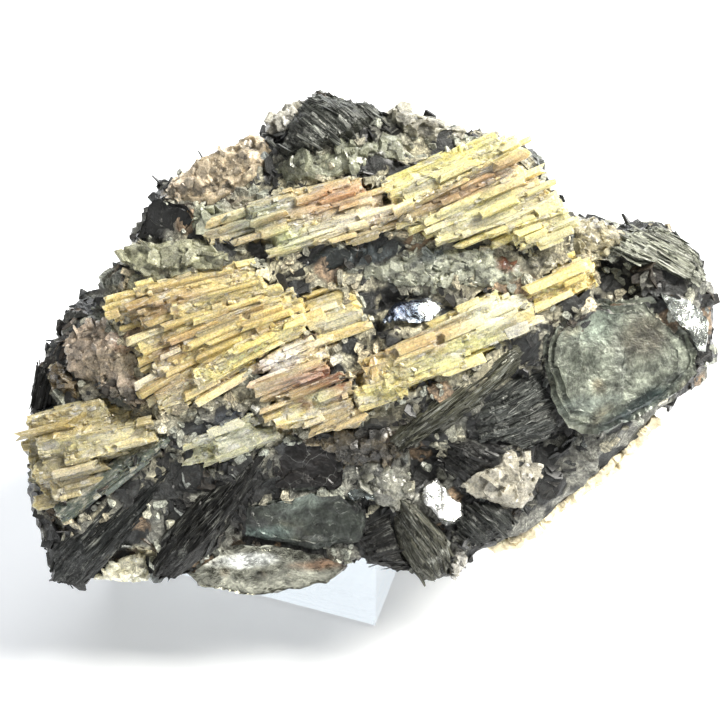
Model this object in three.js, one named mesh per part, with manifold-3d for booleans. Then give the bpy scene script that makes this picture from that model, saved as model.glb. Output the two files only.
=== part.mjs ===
// A hand specimen of pycnite, the columnar topaz, with dark mica books and grey quartz, on a clear block.
// Millimetres, +Z up. The display face leans back, facing -Y and up, and the origin is under the middle
// of the block's and the stone's common box, on the surface that the block stands on.

import * as THREE from 'three';
import { ConvexGeometry } from 'three/addons/geometries/ConvexGeometry.js';
import { ImprovedNoise } from 'three/addons/math/ImprovedNoise.js';
import { mergeVertices } from 'three/addons/utils/BufferGeometryUtils.js';
import Module from 'manifold-3d';

const wasm = await Module();
wasm.setup();

// Driving dimensions
const FACE_ELEVATION = THREE.MathUtils.degToRad(40); // the display face looks this far above the horizon
const EYE_DISTANCE = 181; // from the eye to the display face, when it is looked at square on
const GAP = 0.3; // between neighbouring pieces
const BLOCK_SIDE = 50;
const BLOCK_HEIGHT = 20;
const BLOCK_TURN = THREE.MathUtils.degToRad(-18); // the block's front edge recedes to the left
const BLOCK_CENTRE = [-13.4, 22.7]; // across and back from the middle of the display face
const BLOCK_EDGE = 0.6; // polished chamfer
const UNDERSIDE = -33; // the stone's lowest level, below the middle of the display face

// The frame of the display face is u to the right, v up the face and w towards the eye.
// Places on it are given as they look from the eye: a deeper point lies further out on the same sight line.
function seen(u, v, w) {
  const spread = 1 - w / EYE_DISTANCE;
  return new THREE.Vector3(u * spread, v * spread, w);
}

// The frame of the back face: turned half round the v axis, with its own w outwards.
const BACK_MIDDLE = new THREE.Vector3(0, 9, -38);
function behind(u, v, w) {
  return new THREE.Vector3(BACK_MIDDLE.x - u, BACK_MIDDLE.y + v, BACK_MIDDLE.z - w);
}

// The stone's outline as seen from the eye, counter-clockwise from the top.
const OUTLINE = [
  [-5.9, 40.1], [-9.5, 38.3], [-13.7, 34.4], [-16.7, 33.2], [-22.4, 30.9], [-28.5, 26.4], [-30.6, 24.3],
  [-34.4, 18.5], [-35.4, 15.5], [-38, 12.5], [-39.9, 6.2], [-44, 5.4], [-45.9, 3], [-47.9, -0.2],
  [-48.6, -3.2], [-47.4, -6.3], [-49.8, -9.6], [-50.4, -12], [-49.8, -16.8], [-50.3, -22.1], [-48.9, -27],
  [-47.1, -31.8], [-45, -34.4], [-42.3, -34.1], [-39.8, -32.7], [-33.3, -32.6], [-30.6, -33], [-26.9, -32.4],
  [-25.1, -33.8], [-19.5, -34.8], [-14.4, -34.8], [-9.3, -34.4], [-5.9, -33], [-2.4, -31.7], [-0.3, -29.6],
  [1.4, -29.7], [6.2, -31.7], [9.6, -32.4], [13.8, -32.4], [18.9, -29.3], [23.7, -27.2], [28.2, -23.7],
  [31.7, -21.3], [36.6, -17.1], [40.5, -12.8], [44.9, -8.6], [48.8, -5.9], [52.3, -3.8], [51.8, -1.2],
  [53.6, -0.2], [53.9, 4.5], [53.6, 9.6], [52.4, 11.3], [51.8, 15], [48.8, 18.2], [45.8, 19.5],
  [42.3, 19.2], [40.2, 18.5], [36, 20.7], [31.2, 20.9], [30.6, 23], [28.8, 25.4], [27, 30.2],
  [25.1, 31.7], [21.9, 33.3], [20.6, 34.5], [15.8, 34.7], [12.3, 36], [6.5, 36.8], [3, 37.2],
  [1.4, 38.6], [-2.6, 38.9],
];
const OUTLINE_MIDDLE = [2, 1];

// Rings of the matrix from the front middle to the back middle: how much of the outline each one keeps
// across and up, how far it is moved up, and its depth. The underside stays level as the rings go back.
const RINGS = [
  { across: 0, up: 0, rise: 0, w: -3.6 },
  { across: 0.5, up: 0.5, rise: 0, w: -3.6 },
  { across: 0.8, up: 0.8, rise: 0, w: -4.2 },
  { across: 0.93, up: 0.93, rise: 0, w: -5.4 },
  { across: 0.985, up: 0.985, rise: 0, w: -7.4 },
  { across: 0.99, up: 0.98, rise: 0.4, w: -10 },
  { across: 0.97, up: 0.91, rise: 2.2, w: -16 },
  { across: 0.92, up: 0.77, rise: 5.3, w: -24 },
  { across: 0.8, up: 0.57, rise: 7.6, w: -34 },
  { across: 0.6, up: 0.38, rise: 7.7, w: -41.5 },
  { across: 0.32, up: 0.2, rise: 7, w: -45 },
  { across: 0, up: 0, rise: 7, w: -46 },
];
const RIM_DEPTH = -9; // rings nearer the eye than this belong to the display face
const SMOOTH_DEPTH = -12; // the outline that the eye sees keeps its measured shape down to here
const LOWER_FACE = { from: -8, slope: 0.12 }; // below this line the display face falls away from the eye
const ROUGHNESS = { coarse: 2.4, coarseSize: 14, fine: 0.8, fineSize: 7 };

// Topaz columns. Each row is one column along the growth direction: where its lower left end and its
// upper right end are seen, how wide it is and how high its top stands on the face.
const TOPAZ = [
  {
    name: 'topaz_grey_column', color: 0x9da295,
    rows: [[-44.9, -23.4, -28.8, -11, 3.8, 1]],
  },
  {
    name: 'topaz_columns_top_right', color: 0xd6c06a,
    bed: 1.6,
    outline: [
      [3, 26.6], [20, 33.8], [22.4, 32.2], [24.2, 28.8], [27.4, 26.6], [30.8, 23], [31.4, 19.6],
      [23.6, 16.8], [11.6, 17.8], [6.2, 21.6],
    ],
    rows: [
      [3.5, 26, 20.5, 33.3, 2.6, 3.4], [4.5, 24.3, 22, 31.8, 3.6, 4.8], [6.2, 22.3, 22.4, 31, 1.4, 5.4],
      [7, 21, 22.9, 29.3, 3.2, 4.4], [10.5, 19.8, 27.2, 26.4, 2.4, 4.4],
      [11.5, 18.4, 29.5, 23.6, 2.8, 4.8], [22, 20.2, 30.8, 22.9, 2.4, 5.4], [23.4, 17.6, 31.4, 20.2, 3.2, 5.1],
    ],
  },
  {
    name: 'topaz_columns_upper_left', color: 0xc9b48a,
    bed: 0.6,
    outline: [
      [-22.6, 19.2], [-16.8, 23.2], [-8, 26.2], [-1.6, 27.4], [3.6, 25.2], [6.2, 22], [5.8, 20.2],
      [-2, 17.4], [-12, 15.6], [-16, 18],
    ],
    rows: [
      [-16.5, 22.8, -7.9, 25.3, 2.1, 2.2], [-7.9, 25.2, -1.7, 26.8, 1.9, 3.2], [-15.4, 21, 0.4, 26.4, 2.3, 2.8],
      [-14.2, 19.4, 3, 25, 2.3, 3.2], [-12.4, 18.6, -0.6, 22.1, 3, 4], [-6.3, 18.1, 3, 21.9, 1.8, 4.4],
      [-12.6, 16.4, -6, 18.6, 2.9, 3.6], [-2.2, 18, 6, 20.7, 1.8, 3.8], [2, 21.2, 5.9, 22.6, 3.2, 4.2],
      [-22.8, 18.2, -15.4, 20.8, 3, 1.6],
    ],
  },
  {
    name: 'topaz_columns_left', color: 0xcfae62,
    bed: 0.6,
    outline: [
      [-37, 7.6], [-33.6, 10.4], [-16.6, 15], [-14, 12.4], [-9.2, 9.6], [-9, 5], [-16, -0.4],
      [-18.6, -3.4], [-30.2, -7.8], [-31.4, 0], [-33, 5.2],
    ],
    rows: [
      [-33.6, 10.1, -16.4, 14.5, 1.9, 2.6], [-31.9, 9.1, -15.4, 13.3, 2.3, 3.3], [-28.2, 7.2, -14.6, 12, 3.6, 4.2],
      [-37.6, 6.8, -31.4, 9.9, 2.7, 2.2], [-33, 5.9, -28, 8.4, 2.6, 3], [-31.6, 3.9, -23.6, 6.4, 2.3, 3],
      [-28.9, 3.5, -10.2, 10.9, 1.9, 2.8], [-24.8, 3.8, -9.4, 9.4, 2.5, 3.4], [-31, -0.4, -23.4, 2.8, 4.2, 2.8],
      [-24, 1.1, -9.6, 7.9, 2.5, 3.6], [-24.6, -2.5, -9.4, 5.6, 3.5, 4.8],
      [-30.8, -3.4, -24.2, -1.3, 2.5, 2.8], [-30.6, -5.8, -15.8, 0.7, 2.5, 3], [-30.4, -6.8, -18.6, -2.3, 2.9, 2.4],
    ],
  },
  {
    name: 'topaz_columns_middle', color: 0xd2b48c,
    bed: 0.2,
    outline: [
      [-18, -1.2], [-12, 3.2], [-7.2, 3.4], [-4.2, 1.2], [-4.2, -3], [-1, -5], [0, -9.6], [-6.6, -10.4],
      [-12.8, -10], [-13.6, -3.4],
    ],
    rows: [
      [-18.2, -0.9, -12, 2.6, 1.6, 2.4], [-15.4, -0.6, -7.6, 2.6, 3, 3.6], [-13.6, -3, -9.1, -1.1, 1.7, 2.8],
      [-9.5, -1.2, -4.8, 1.1, 2.2, 3.2], [-12.9, -4.7, -4.9, -1.8, 2.2, 3.3],
      [-12.2, -6, -7, -4.5, 1.8, 2.6], [-6.2, -5.9, -1.3, -3.8, 2.4, 3],
      [-12.8, -9.2, -6.6, -7.8, 3, 2.7], [-6.1, -7.8, -1.3, -6.4, 2, 2.2], [-6.6, -9.6, 0, -8.8, 2.6, 1.8],
    ],
  },
  {
    name: 'topaz_columns_inner_step', color: 0xcdb673,
    bed: -0.4,
    outline: [
      [-9.6, 8.4], [-7.8, 10.8], [-4.8, 11.2], [-2.2, 9.4], [1, 7], [0.4, 4.4], [-3, 2.4], [-6.4, 2],
      [-9.4, 4.6],
    ],
    rows: [
      [-8.4, 9.5, -5.2, 10.8, 1.9, 1.6], [-7.3, 6.7, -2.8, 9.7, 3, 2.4], [-9.4, 7.2, -6.6, 8.8, 2.2, 1.6],
      [-6.8, 4.7, 0.4, 6.7, 3.9, 2.8],
    ],
  },
  {
    name: 'topaz_columns_lower_right', color: 0xd3c486,
    bed: 0.6,
    outline: [
      [-1.2, -4.2], [1, 0.4], [4.4, 2.2], [13.6, 7.4], [20.6, 10.4], [25.6, 9.4], [24.6, 4.8],
      [15.8, -1.2], [6.6, -5.2], [-0.8, -6.8],
    ],
    rows: [
      [13.4, 6.4, 20.6, 9.8, 2.2, 3.4], [19, 6.6, 25.2, 8.8, 2.7, 3], [4.2, 0.8, 19, 7.5, 3.2, 3.8],
      [0.8, -0.5, 10.2, 3.5, 2.2, 3], [6.1, -0.9, 23.6, 5.9, 3.8, 4.4], [3.8, -3.7, 15.4, 0.1, 3.2, 3.8],
      [-1.1, -5.6, 7, -4, 3.4, 2.8], [0.8, -1.9, 6.6, -0.2, 2.5, 3.4], [1, -3.7, 5.8, -1.9, 2.5, 3.2],
    ],
  },
  {
    name: 'topaz_stub_right', color: 0xd9c680,
    bed: -0.4,
    outline: [
      [25.4, 8.6], [26.6, 11], [29.6, 14.6], [34.8, 15.2], [35.4, 12.4], [33.8, 10.2], [27, 7],
    ],
    rows: [
      [25.7, 9.3, 30.5, 11.9, 2.6, 2.4], [26.5, 7.6, 33.8, 11.4, 2.4, 2], [29.6, 13, 34.8, 14, 3, 2.2],
    ],
  },
  {
    name: 'topaz_columns_low_left', color: 0xcdbb86,
    bed: -1.6,
    outline: [
      [-50, -11.4], [-48.6, -8], [-38.8, -5.2], [-31, -8.8], [-30.4, -11.8], [-39, -16.8],
      [-40.4, -19.8], [-46.6, -21.6], [-49.4, -17.6],
    ],
    rows: [
      [-49.6, -9.9, -38.6, -6.7, 3.5, 0.6], [-48, -13, -31, -10.2, 3.2, 1.8], [-43.8, -15, -30.8, -11.4, 2.8, 2.2],
      [-48.6, -17.2, -38.8, -15.2, 3.6, 0.4], [-46, -20.3, -39.6, -18.2, 3.2, 0],
    ],
  },
  {
    name: 'topaz_chips_below', color: 0xcfc7a0,
    bed: -0.8,
    outline: [
      [-27, -16], [-24.6, -11.2], [-17, -8], [-12.4, -10.4], [-13.6, -12], [-20.6, -15],
    ],
    rows: [[-24.4, -11.9, -16.4, -8.8, 2, 1.6], [-21.2, -14.6, -12.6, -11, 2.4, 1.4]],
  },
];
const SECTION = [[0.5, 1], [1, -1], [-1, -1], [-0.95, 0.35]]; // of a column: corners to the side and up
const COLUMN_DEPTH = 4; // how deep a column reaches below its top, at most
const BED_SINK = 0.8; // how deep a column is rooted in its bed
const LONE_COLUMN_DEPTH = 6; // of a column without a bed
const BUNDLE_CLEARANCE = 7; // above a bed, where no neighbour may lean over the columns

// Mica books whose cleavage face shows: outline as seen, height of the face at its middle, how the face
// tips to the right and up, and how much smaller each sheet stack on top of it is.
const MICA = [
  {
    name: 'mica_book_large', w: -0.6, tip: [-0.14, 0.1], steps: [0.93, 0.8],
    outline: [
      [27.8, 3], [30.3, 6.3], [36, 8.7], [43.2, 9], [47.3, 5.3], [50.7, 1.5], [50.3, -1.8], [46.2, -5.7],
      [40.5, -9], [36, -11.4], [31.8, -10.2], [29.4, -6], [27.9, -1.8],
    ],
  },
  {
    name: 'mica_book_top_right', w: -3, tip: [-0.25, -0.35], steps: [0.86],
    outline: [
      [37.6, 16.6], [39.8, 18.5], [42.3, 19.4], [45.8, 19.7], [48.8, 18.4], [51.3, 15.8], [52.1, 13.4],
      [51, 11.2], [46.4, 13.4], [41.6, 14.6],
    ],
  },
  {
    name: 'mica_sheet_bright_right', w: -1.6, tip: [-0.5, -0.12], steps: [0.9],
    outline: [[44.4, 9.6], [49.4, 9.4], [52.4, 6], [52.2, 1.2], [51.2, 1.6], [47.6, 5.6]],
  },
  {
    name: 'mica_book_dark_red', w: -2, tip: [0.05, 0.16], steps: [0.88],
    outline: [[-13.9, -14.5], [-11.6, -12.4], [-6, -12.2], [-3.2, -14], [-3.4, -19], [-7, -20.3], [-13, -19.5]],
  },
  {
    name: 'mica_book_bottom', w: -3, tip: [0.02, 0.2], steps: [0.86],
    outline: [
      [-16.4, -22.6], [-12, -20.4], [-7, -20.7], [-2, -20.6], [1, -23.4], [-0.3, -27.6], [-6, -28.6], [-13, -27.4],
      [-17.6, -26.2],
    ],
  },
  {
    name: 'mica_book_keel', w: -4.9, tip: [0.02, 0.42], steps: [],
    outline: [
      [-26, -32.2], [-22, -30.6], [-19, -28], [-14, -28], [-6, -29.4], [-2.6, -31], [-5.9, -33.2], [-9.3, -34.6],
      [-14.4, -35], [-19.5, -35], [-24.8, -34.1],
    ],
  },
  {
    name: 'mica_sheet_mirror', w: -2.2, tip: [-0.3, -0.3], steps: [],
    outline: [[9.8, -18.8], [11.3, -18.3], [15.5, -21.7], [15.4, -24], [14.2, -25], [12, -24], [9.5, -21]],
  },
  {
    name: 'mica_scale_bright', w: -2.6, tip: [0.2, -0.2], steps: [],
    outline: [[-3.3, -17.6], [-1.4, -16.6], [2.4, -21], [-2.2, -21.5]],
  },
  {
    name: 'mica_blade_upper', w: 1.9, tip: [0.05, 0.35], steps: [0.8],
    outline: [
      [-11, 11.1], [-10.5, 12.8], [-7.5, 14.7], [-4.5, 17.1], [-2.3, 17.7], [0.2, 16.6], [-0.8, 14.5],
      [-4.6, 12.4], [-8, 11.2],
    ],
  },
  {
    name: 'mica_eye', w: 2.2, tip: [-0.2, -0.3], steps: [],
    outline: [[3.5, 6.1], [5.3, 8.1], [7.7, 9], [10.5, 8.8], [12.5, 7.5], [10.4, 6.2], [7, 5.8]],
  },
  {
    name: 'mica_book_left_shoulder', w: -1.8, tip: [0.3, 0.2], steps: [0.8],
    outline: [[-30.6, 24.3], [-26.5, 23], [-23.4, 20.6], [-27.4, 17.5], [-30.6, 17], [-33.8, 18.4]],
  },
  {
    name: 'mica_flake_left', w: -8.5, tip: [0.1, 0.3], steps: [],
    outline: [[-44.4, 7.4], [-42, 7], [-39.2, 6], [-39.5, 4.4], [-42, 4.2], [-44, 5.4]],
  },
  {
    name: 'mica_book_top_corner', w: -4, tip: [-0.3, -0.1], steps: [0.82],
    outline: [[23.6, 31.6], [25.2, 31.9], [27.2, 30.3], [28.2, 27.4], [26.2, 27.4], [23.8, 29.6]],
  },
];
const ROOT_DEPTH = 9; // every piece reaches this far down, to where the rock takes over
const ROOT_TAPER = 0.84;
const LUMP_TAPER = 0.6;
const SHEET_STEP = 0.55; // height of each smaller stack of sheets on a book

// Mica books and splinters seen from the side, so that their sheet edges show as a grain.
const MICA_EDGES = [
  {
    name: 'mica_crown', w: -1.4, crest: 3,
    outline: [
      [-12, 31], [-10.2, 36.2], [-8.3, 38.8], [-5.9, 40], [-2.3, 39.2], [1.4, 38.8], [3.2, 37.2], [0.6, 33.6],
      [-4, 32.6], [-8, 30.4],
    ],
  },
  {
    name: 'mica_sash', w: 0, crest: 2.2, fill: 0.6,
    outline: [
      [5.3, -12.2], [8, -8.4], [12.4, -4.6], [18, 0.8], [23.2, 4.3], [26.2, 3.8], [26.2, 1], [21, -2.5],
      [16.5, -7], [11, -11.4], [7, -13.4],
    ],
  },
  {
    name: 'mica_flank', w: -1.6, crest: 1.6, fill: 0.6,
    outline: [[17, -7.4], [21.6, -3], [26.8, 0.4], [28.6, -4.6], [30, -9.6], [25, -12.6], [18.4, -12]],
  },
  {
    name: 'mica_fang', w: -2.4, crest: 3,
    outline: [
      [-31, -32.6], [-30, -27.5], [-26.4, -22.3], [-21.4, -17], [-13.2, -11.8], [-13.4, -14], [-17.1, -21],
      [-22.3, -28.6], [-27.5, -32.6],
    ],
  },
  {
    name: 'mica_hem', w: -3.6, crest: 2.6,
    outline: [
      [-46.2, -33.4], [-46, -28.6], [-42.6, -24.6], [-36, -18.8], [-29, -13], [-25.6, -11], [-25, -13.6],
      [-28.5, -17.5], [-31.5, -22], [-34.5, -27], [-39.8, -32.5], [-43, -34.4],
    ],
  },
  {
    name: 'mica_tongue', w: -4, crest: 2.6, fill: 0.6,
    outline: [
      [5.8, -19.8], [8, -21], [11.3, -24.8], [13.3, -27.8], [13, -30.8], [11.3, -32.3], [9.4, -32.5], [7.2, -29.3],
      [5.8, -25.5],
    ],
  },
  {
    name: 'mica_wedge_bottom', w: -4.6, crest: 1.4, fill: 0.6,
    outline: [[-0.6, -23.4], [4.8, -22.4], [6.4, -27], [7.6, -31], [5.4, -31.4], [1.2, -29.8]],
  },
  {
    name: 'mica_knot', w: -2.6, crest: 1.6, fill: 0.6,
    outline: [[13.6, -12.8], [17.4, -11.6], [22, -13.2], [20.4, -15.6], [16, -18.2], [13.2, -16.4]],
  },
  {
    name: 'mica_shard_lower', w: -3.6, crest: 1.4, fill: 0.6,
    outline: [[16.2, -22.2], [19.8, -21.4], [22.2, -22], [22.4, -25.6], [18.4, -28], [15.4, -26.4]],
  },
  {
    name: 'mica_cheek_left', w: -6.5, crest: 1,
    outline: [[-48.8, -0.4], [-46.2, -1], [-45.4, -5], [-46.4, -8.4], [-49.6, -9.8], [-47.8, -6.4]],
  },
];

// Quartz grains and crusts: outline as seen, height of the rim, how far the broken top stands above it and
// how far the grain spreads past its outline, where nothing else is in its way.
const QUARTZ = [
  {
    name: 'quartz_brow', w: -2.6, crest: 3, color: 0x9a9c92,
    outline: [
      [-13, 29.6], [-9, 31], [-3.6, 31.8], [0.9, 33.2], [5.3, 32.9], [8.4, 30.6], [1.6, 27.7], [-7.9, 26.4],
      [-12.4, 26.2],
    ],
  },
  {
    name: 'quartz_top', w: -4.6, crest: 1.6, color: 0xa8a79b,
    outline: [[3.6, 36.9], [6.5, 37], [12, 36.2], [16, 34.7], [11.4, 32.6], [7.4, 33.4]],
  },
  {
    name: 'quartz_horn', w: -6, crest: 0.6, color: 0xc6c4ba,
    outline: [[-13.9, 34.2], [-11.2, 38.2], [-9.6, 38.5], [-9.4, 36.6], [-11.4, 33.4]],
  },
  {
    name: 'quartz_crust_left', w: -3, crest: 1.8, color: 0xbfa894,
    outline: [
      [-28.7, 26.3], [-22.4, 31], [-16.7, 33.3], [-14, 32.6], [-14, 28], [-17.6, 24.4], [-22.4, 22.4], [-26.6, 23.2],
    ],
  },
  {
    name: 'quartz_ledge_left', w: 0, crest: 2.2, fill: 0.9, color: 0x9ea392,
    outline: [[-35, 16.6], [-24.2, 16.8], [-14, 16.4], [-12, 12.4], [-17, 13.4], [-33.4, 10.8], [-34.6, 12.6]],
  },
  {
    name: 'quartz_block_upper', w: -1.4, crest: 1.8, color: 0xa3a597,
    outline: [[-27.4, 21.6], [-22, 22.8], [-15, 24.4], [-13.6, 22.2], [-14.6, 15.8], [-21.4, 16.4], [-26.6, 18]],
  },
  {
    name: 'quartz_patch_tan', w: -1.8, crest: 1.6, color: 0xa58f70,
    outline: [[-13, -10], [0.6, -9.2], [6.4, -9.6], [6.6, -13.6], [3.6, -16.4], [-3, -16], [-8, -12.8]],
  },
  {
    name: 'quartz_band', w: 0.4, crest: 2, fill: 0.9, color: 0x85867f,
    outline: [
      [1, 14.4], [5, 17], [12, 17.6], [21.4, 17.2], [26.2, 15.4], [27.6, 12.6], [24.2, 10.2], [18, 9.9],
      [13, 9.6], [6, 11], [1.6, 12],
    ],
  },
  {
    name: 'quartz_grains_left', w: -1.6, crest: 2, fill: 0.9, color: 0xb5a695,
    outline: [
      [-43.2, 2.6], [-40.5, 5.2], [-37, 4.4], [-33.2, 1.4], [-31.8, -3.4], [-30.6, -8.4], [-35.4, -8.6], [-38.6, -4.2],
      [-42.6, -0.6],
    ],
  },
  {
    name: 'quartz_lump_brown', w: -3.6, crest: 2, color: 0x8f7a5f,
    outline: [[-46, -0.4], [-42.6, -0.8], [-39, -4.2], [-39.8, -6.6], [-44, -7.2], [-46.2, -4.6]],
  },
  {
    name: 'quartz_grains_below', w: -1.4, crest: 1.6, fill: 0.9, color: 0x84878a,
    outline: [[-22.8, -5.9], [-17, -2.4], [-14, -3.2], [-13, -6.6], [-14.6, -8.6], [-18.4, -8.6], [-26, -8.4]],
  },
  {
    name: 'quartz_grain_middle', w: -2.4, crest: 1.6, fill: 0.9, color: 0x9d9a90,
    outline: [[-0.9, -15.6], [4, -16.4], [6, -18.6], [4.8, -21.2], [2.8, -20.6], [0.4, -17.8]],
  },
  {
    name: 'quartz_grain_pale', w: -2.8, crest: 1.8, fill: 0.9, color: 0xb9b5a7,
    outline: [[15.6, -18.2], [20.4, -14], [24.4, -14], [26.6, -17.6], [23.3, -21.2], [18.5, -20]],
  },
  {
    name: 'quartz_grain_foot', w: -6.4, crest: 1.4, color: 0xc9c7be,
    outline: [[13.2, -25.8], [15.8, -25.2], [16.4, -29], [15.2, -31.2], [13.9, -32.7], [13.6, -28.4]],
  },
  {
    name: 'quartz_grain_toe', w: -6.6, crest: 1.6, color: 0xc8b79a,
    outline: [[-39.4, -32.9], [-34.4, -28.8], [-31.6, -28.6], [-31.6, -32.9], [-35, -33.2]],
  },
  {
    name: 'quartz_grain_right', w: -3.4, crest: 2, color: 0xb2ab90,
    outline: [[31.6, 20.7], [36.2, 20.9], [40, 18.2], [37, 15.2], [32.2, 15.8]],
  },
];

// The weathered rind along the lower right side: its outer edge as seen, from end to end.
const RIND = {
  name: 'clay_rind', color: 0xd2bd92, width: 3.4, depth: 13, w: -9.5,
  edge: [[20.8, -29.1], [28.4, -24.2], [36.8, -17.6], [41.4, -12.4], [45, -9.2]],
};

// Crystals on the back, in the frame of the back face, laid out by hand in the same way as the front.
const BACK_TOPAZ = {
  name: 'topaz_columns_back', color: 0xc7b37a,
  bed: 9,
  outline: [[-18.4, -2.4], [-17.4, 2.4], [3, 7.6], [6.6, 4.6], [5.4, -0.6], [-12.6, -5]],
  rows: [
    [-17, 1, 3, 6.2, 3.8, 10.8], [-15, -2.4, 6, 2.4, 3.8, 11.6],
  ],
};
const BACK_MICA = [
  {
    name: 'mica_book_back_left', w: 8.6, tip: [-0.12, -0.1], steps: [0.86],
    outline: [[13, -6], [20, -8.4], [26.4, -5], [27.6, 1.6], [22, 5.6], [15, 4]],
  },
  {
    name: 'mica_book_back_right', w: 6.6, tip: [0.16, -0.1], steps: [0.84],
    outline: [[-32, -5], [-26, -8.4], [-21, -5.4], [-21.6, 1.2], [-27, 4.4], [-32.4, 1]],
  },
];

// A small steady random number for piece number n and choice number k, from 0 to 1.
function chance(n, k) {
  const x = Math.sin(n * 12.9898 + k * 78.233) * 43758.5453;
  return x - Math.floor(x);
}

// The closed solid of a geometry, with its faces turned outwards.
function solidOf(geometry) {
  const bare = new THREE.BufferGeometry().setAttribute('position', geometry.getAttribute('position'));
  if (geometry.index) bare.setIndex(geometry.index);
  const merged = mergeVertices(bare, 1e-4);
  const corners = merged.attributes.position.array;
  const faces = new Uint32Array(merged.index.array);
  const at = (i) => new THREE.Vector3().fromArray(corners, 3 * i);
  let volume = 0;
  for (let i = 0; i < faces.length; i += 3) {
    volume += at(faces[i]).dot(at(faces[i + 1]).cross(at(faces[i + 2])));
  }
  if (volume < 0) faces.reverse();
  return new wasm.Manifold(new wasm.Mesh({ numProp: 3, vertProperties: corners, triVerts: faces }));
}

function geometryOf(solid) {
  const mesh = solid.getMesh();
  const geometry = new THREE.BufferGeometry();
  geometry.setAttribute('position', new THREE.BufferAttribute(mesh.vertProperties, 3));
  geometry.setIndex(new THREE.BufferAttribute(mesh.triVerts, 1));
  geometry.computeVertexNormals();
  return geometry;
}

function joined(solids) {
  return solids.reduce((all, next) => all.add(next));
}

// The largest body of a solid: a cut can leave loose slivers beside it.
function largest(solid) {
  return solid.decompose().reduce((best, next) => (next.volume() > best.volume() ? next : best));
}

// The matrix, a rough rock lofted through its rings.
function matrixSolid() {
  const geometry = new THREE.SphereGeometry(1, OUTLINE.length, RINGS.length - 1);
  const places = geometry.getAttribute('position');
  const noise = new ImprovedNoise();
  const across = OUTLINE.length + 1;
  for (let i = 0; i < places.count; i++) {
    const ring = RINGS[Math.floor(i / across)];
    const [pu, pv] = OUTLINE[(i % across) % OUTLINE.length];
    const u = OUTLINE_MIDDLE[0] + ring.across * (pu - OUTLINE_MIDDLE[0]);
    const v = OUTLINE_MIDDLE[1] + ring.up * (pv - OUTLINE_MIDDLE[1]) + ring.rise;
    const front = ring.w > RIM_DEPTH;
    const fall = front ? Math.min(0, LOWER_FACE.slope * (v - LOWER_FACE.from)) * (1 - ring.across ** 4) : 0;
    const point = seen(u, v, ring.w + fall);
    if (!front) {
      const rough = (size, seed) => noise.noise(point.x / size + seed, point.y / size, point.z / size);
      const bump = ROUGHNESS.coarse * rough(ROUGHNESS.coarseSize, 3) + ROUGHNESS.fine * rough(ROUGHNESS.fineSize, 9);
      const outward = new THREE.Vector3(u - OUTLINE_MIDDLE[0], v - OUTLINE_MIDDLE[1] - ring.rise, 0).normalize();
      point.addScaledVector(outward, ring.w > SMOOTH_DEPTH ? 0 : bump * ring.across);
      point.z -= bump * (1 - ring.across);
    }
    places.setXYZ(i, point.x, point.y, point.z);
  }
  return solidOf(geometry);
}

// The same body with its surface moved outwards.
function swollen(solid, distance) {
  const geometry = geometryOf(solid);
  const places = geometry.getAttribute('position');
  const normals = geometry.getAttribute('normal');
  for (let i = 0; i < places.count; i++) {
    const point = new THREE.Vector3().fromBufferAttribute(places, i);
    point.addScaledVector(new THREE.Vector3().fromBufferAttribute(normals, i), distance);
    places.setXYZ(i, point.x, point.y, point.z);
  }
  return solidOf(geometry);
}

// One topaz column: a prism between two places, with uneven sides and sloping broken ends.
function columnSolid([u0, v0, u1, v1, width, top], depth, seed, place, grow) {
  const half = width / 2 + grow;
  const reach = depth / 2 + grow;
  const start = place(u0, v0, top - depth / 2);
  const end = place(u1, v1, top - depth / 2);
  const along = end.clone().sub(start);
  const length = along.length();
  along.normalize();
  const out = place(u0, v0, top).sub(place(u0, v0, top - 1)).normalize();
  const side = along.clone().cross(out).normalize();
  const rise = side.clone().cross(along);
  const geometry = new THREE.CylinderGeometry(1, 1, 1, SECTION.length);
  const places = geometry.getAttribute('position');
  const mirrored = chance(seed, 7) > 0.5 ? -1 : 1;
  const middle = start.clone().lerp(end, 0.5);
  for (let i = 0; i < places.count; i++) {
    const x = places.getX(i);
    const y = places.getY(i);
    const z = places.getZ(i);
    const centre = Math.hypot(x, z) < 0.5;
    const corner = Math.round((Math.atan2(x, z) / (2 * Math.PI)) * SECTION.length + SECTION.length) % SECTION.length;
    const [across, up] = centre ? [0, 0] : SECTION[corner];
    const uneven = 1 + 0.14 * (chance(seed, corner) - 0.5);
    const slope = 0.5 * (chance(seed, y > 0 ? 11 : 12) - 0.5) * across * half;
    const point = middle.clone().addScaledVector(along, y * (length + 2 * grow) + slope);
    point.addScaledVector(side, across * mirrored * half * uneven);
    point.addScaledVector(rise, up * reach * (up > 0 ? uneven : 1));
    places.setXYZ(i, point.x, point.y, point.z);
  }
  return solidOf(geometry);
}

function middleOf(outline) {
  const sum = outline.reduce(([a, b], [u, v]) => [a + u, b + v], [0, 0]);
  return [sum[0] / outline.length, sum[1] / outline.length];
}

// An outline made larger by a fixed distance outwards, or scaled towards its middle.
function spreadOutline(outline, grow, scale = 1) {
  const [mu, mv] = middleOf(outline);
  return outline.map(([u, v]) => {
    const length = Math.hypot(u - mu, v - mv);
    const factor = scale + grow / length;
    return [mu + (u - mu) * factor, mv + (v - mv) * factor];
  });
}

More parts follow.
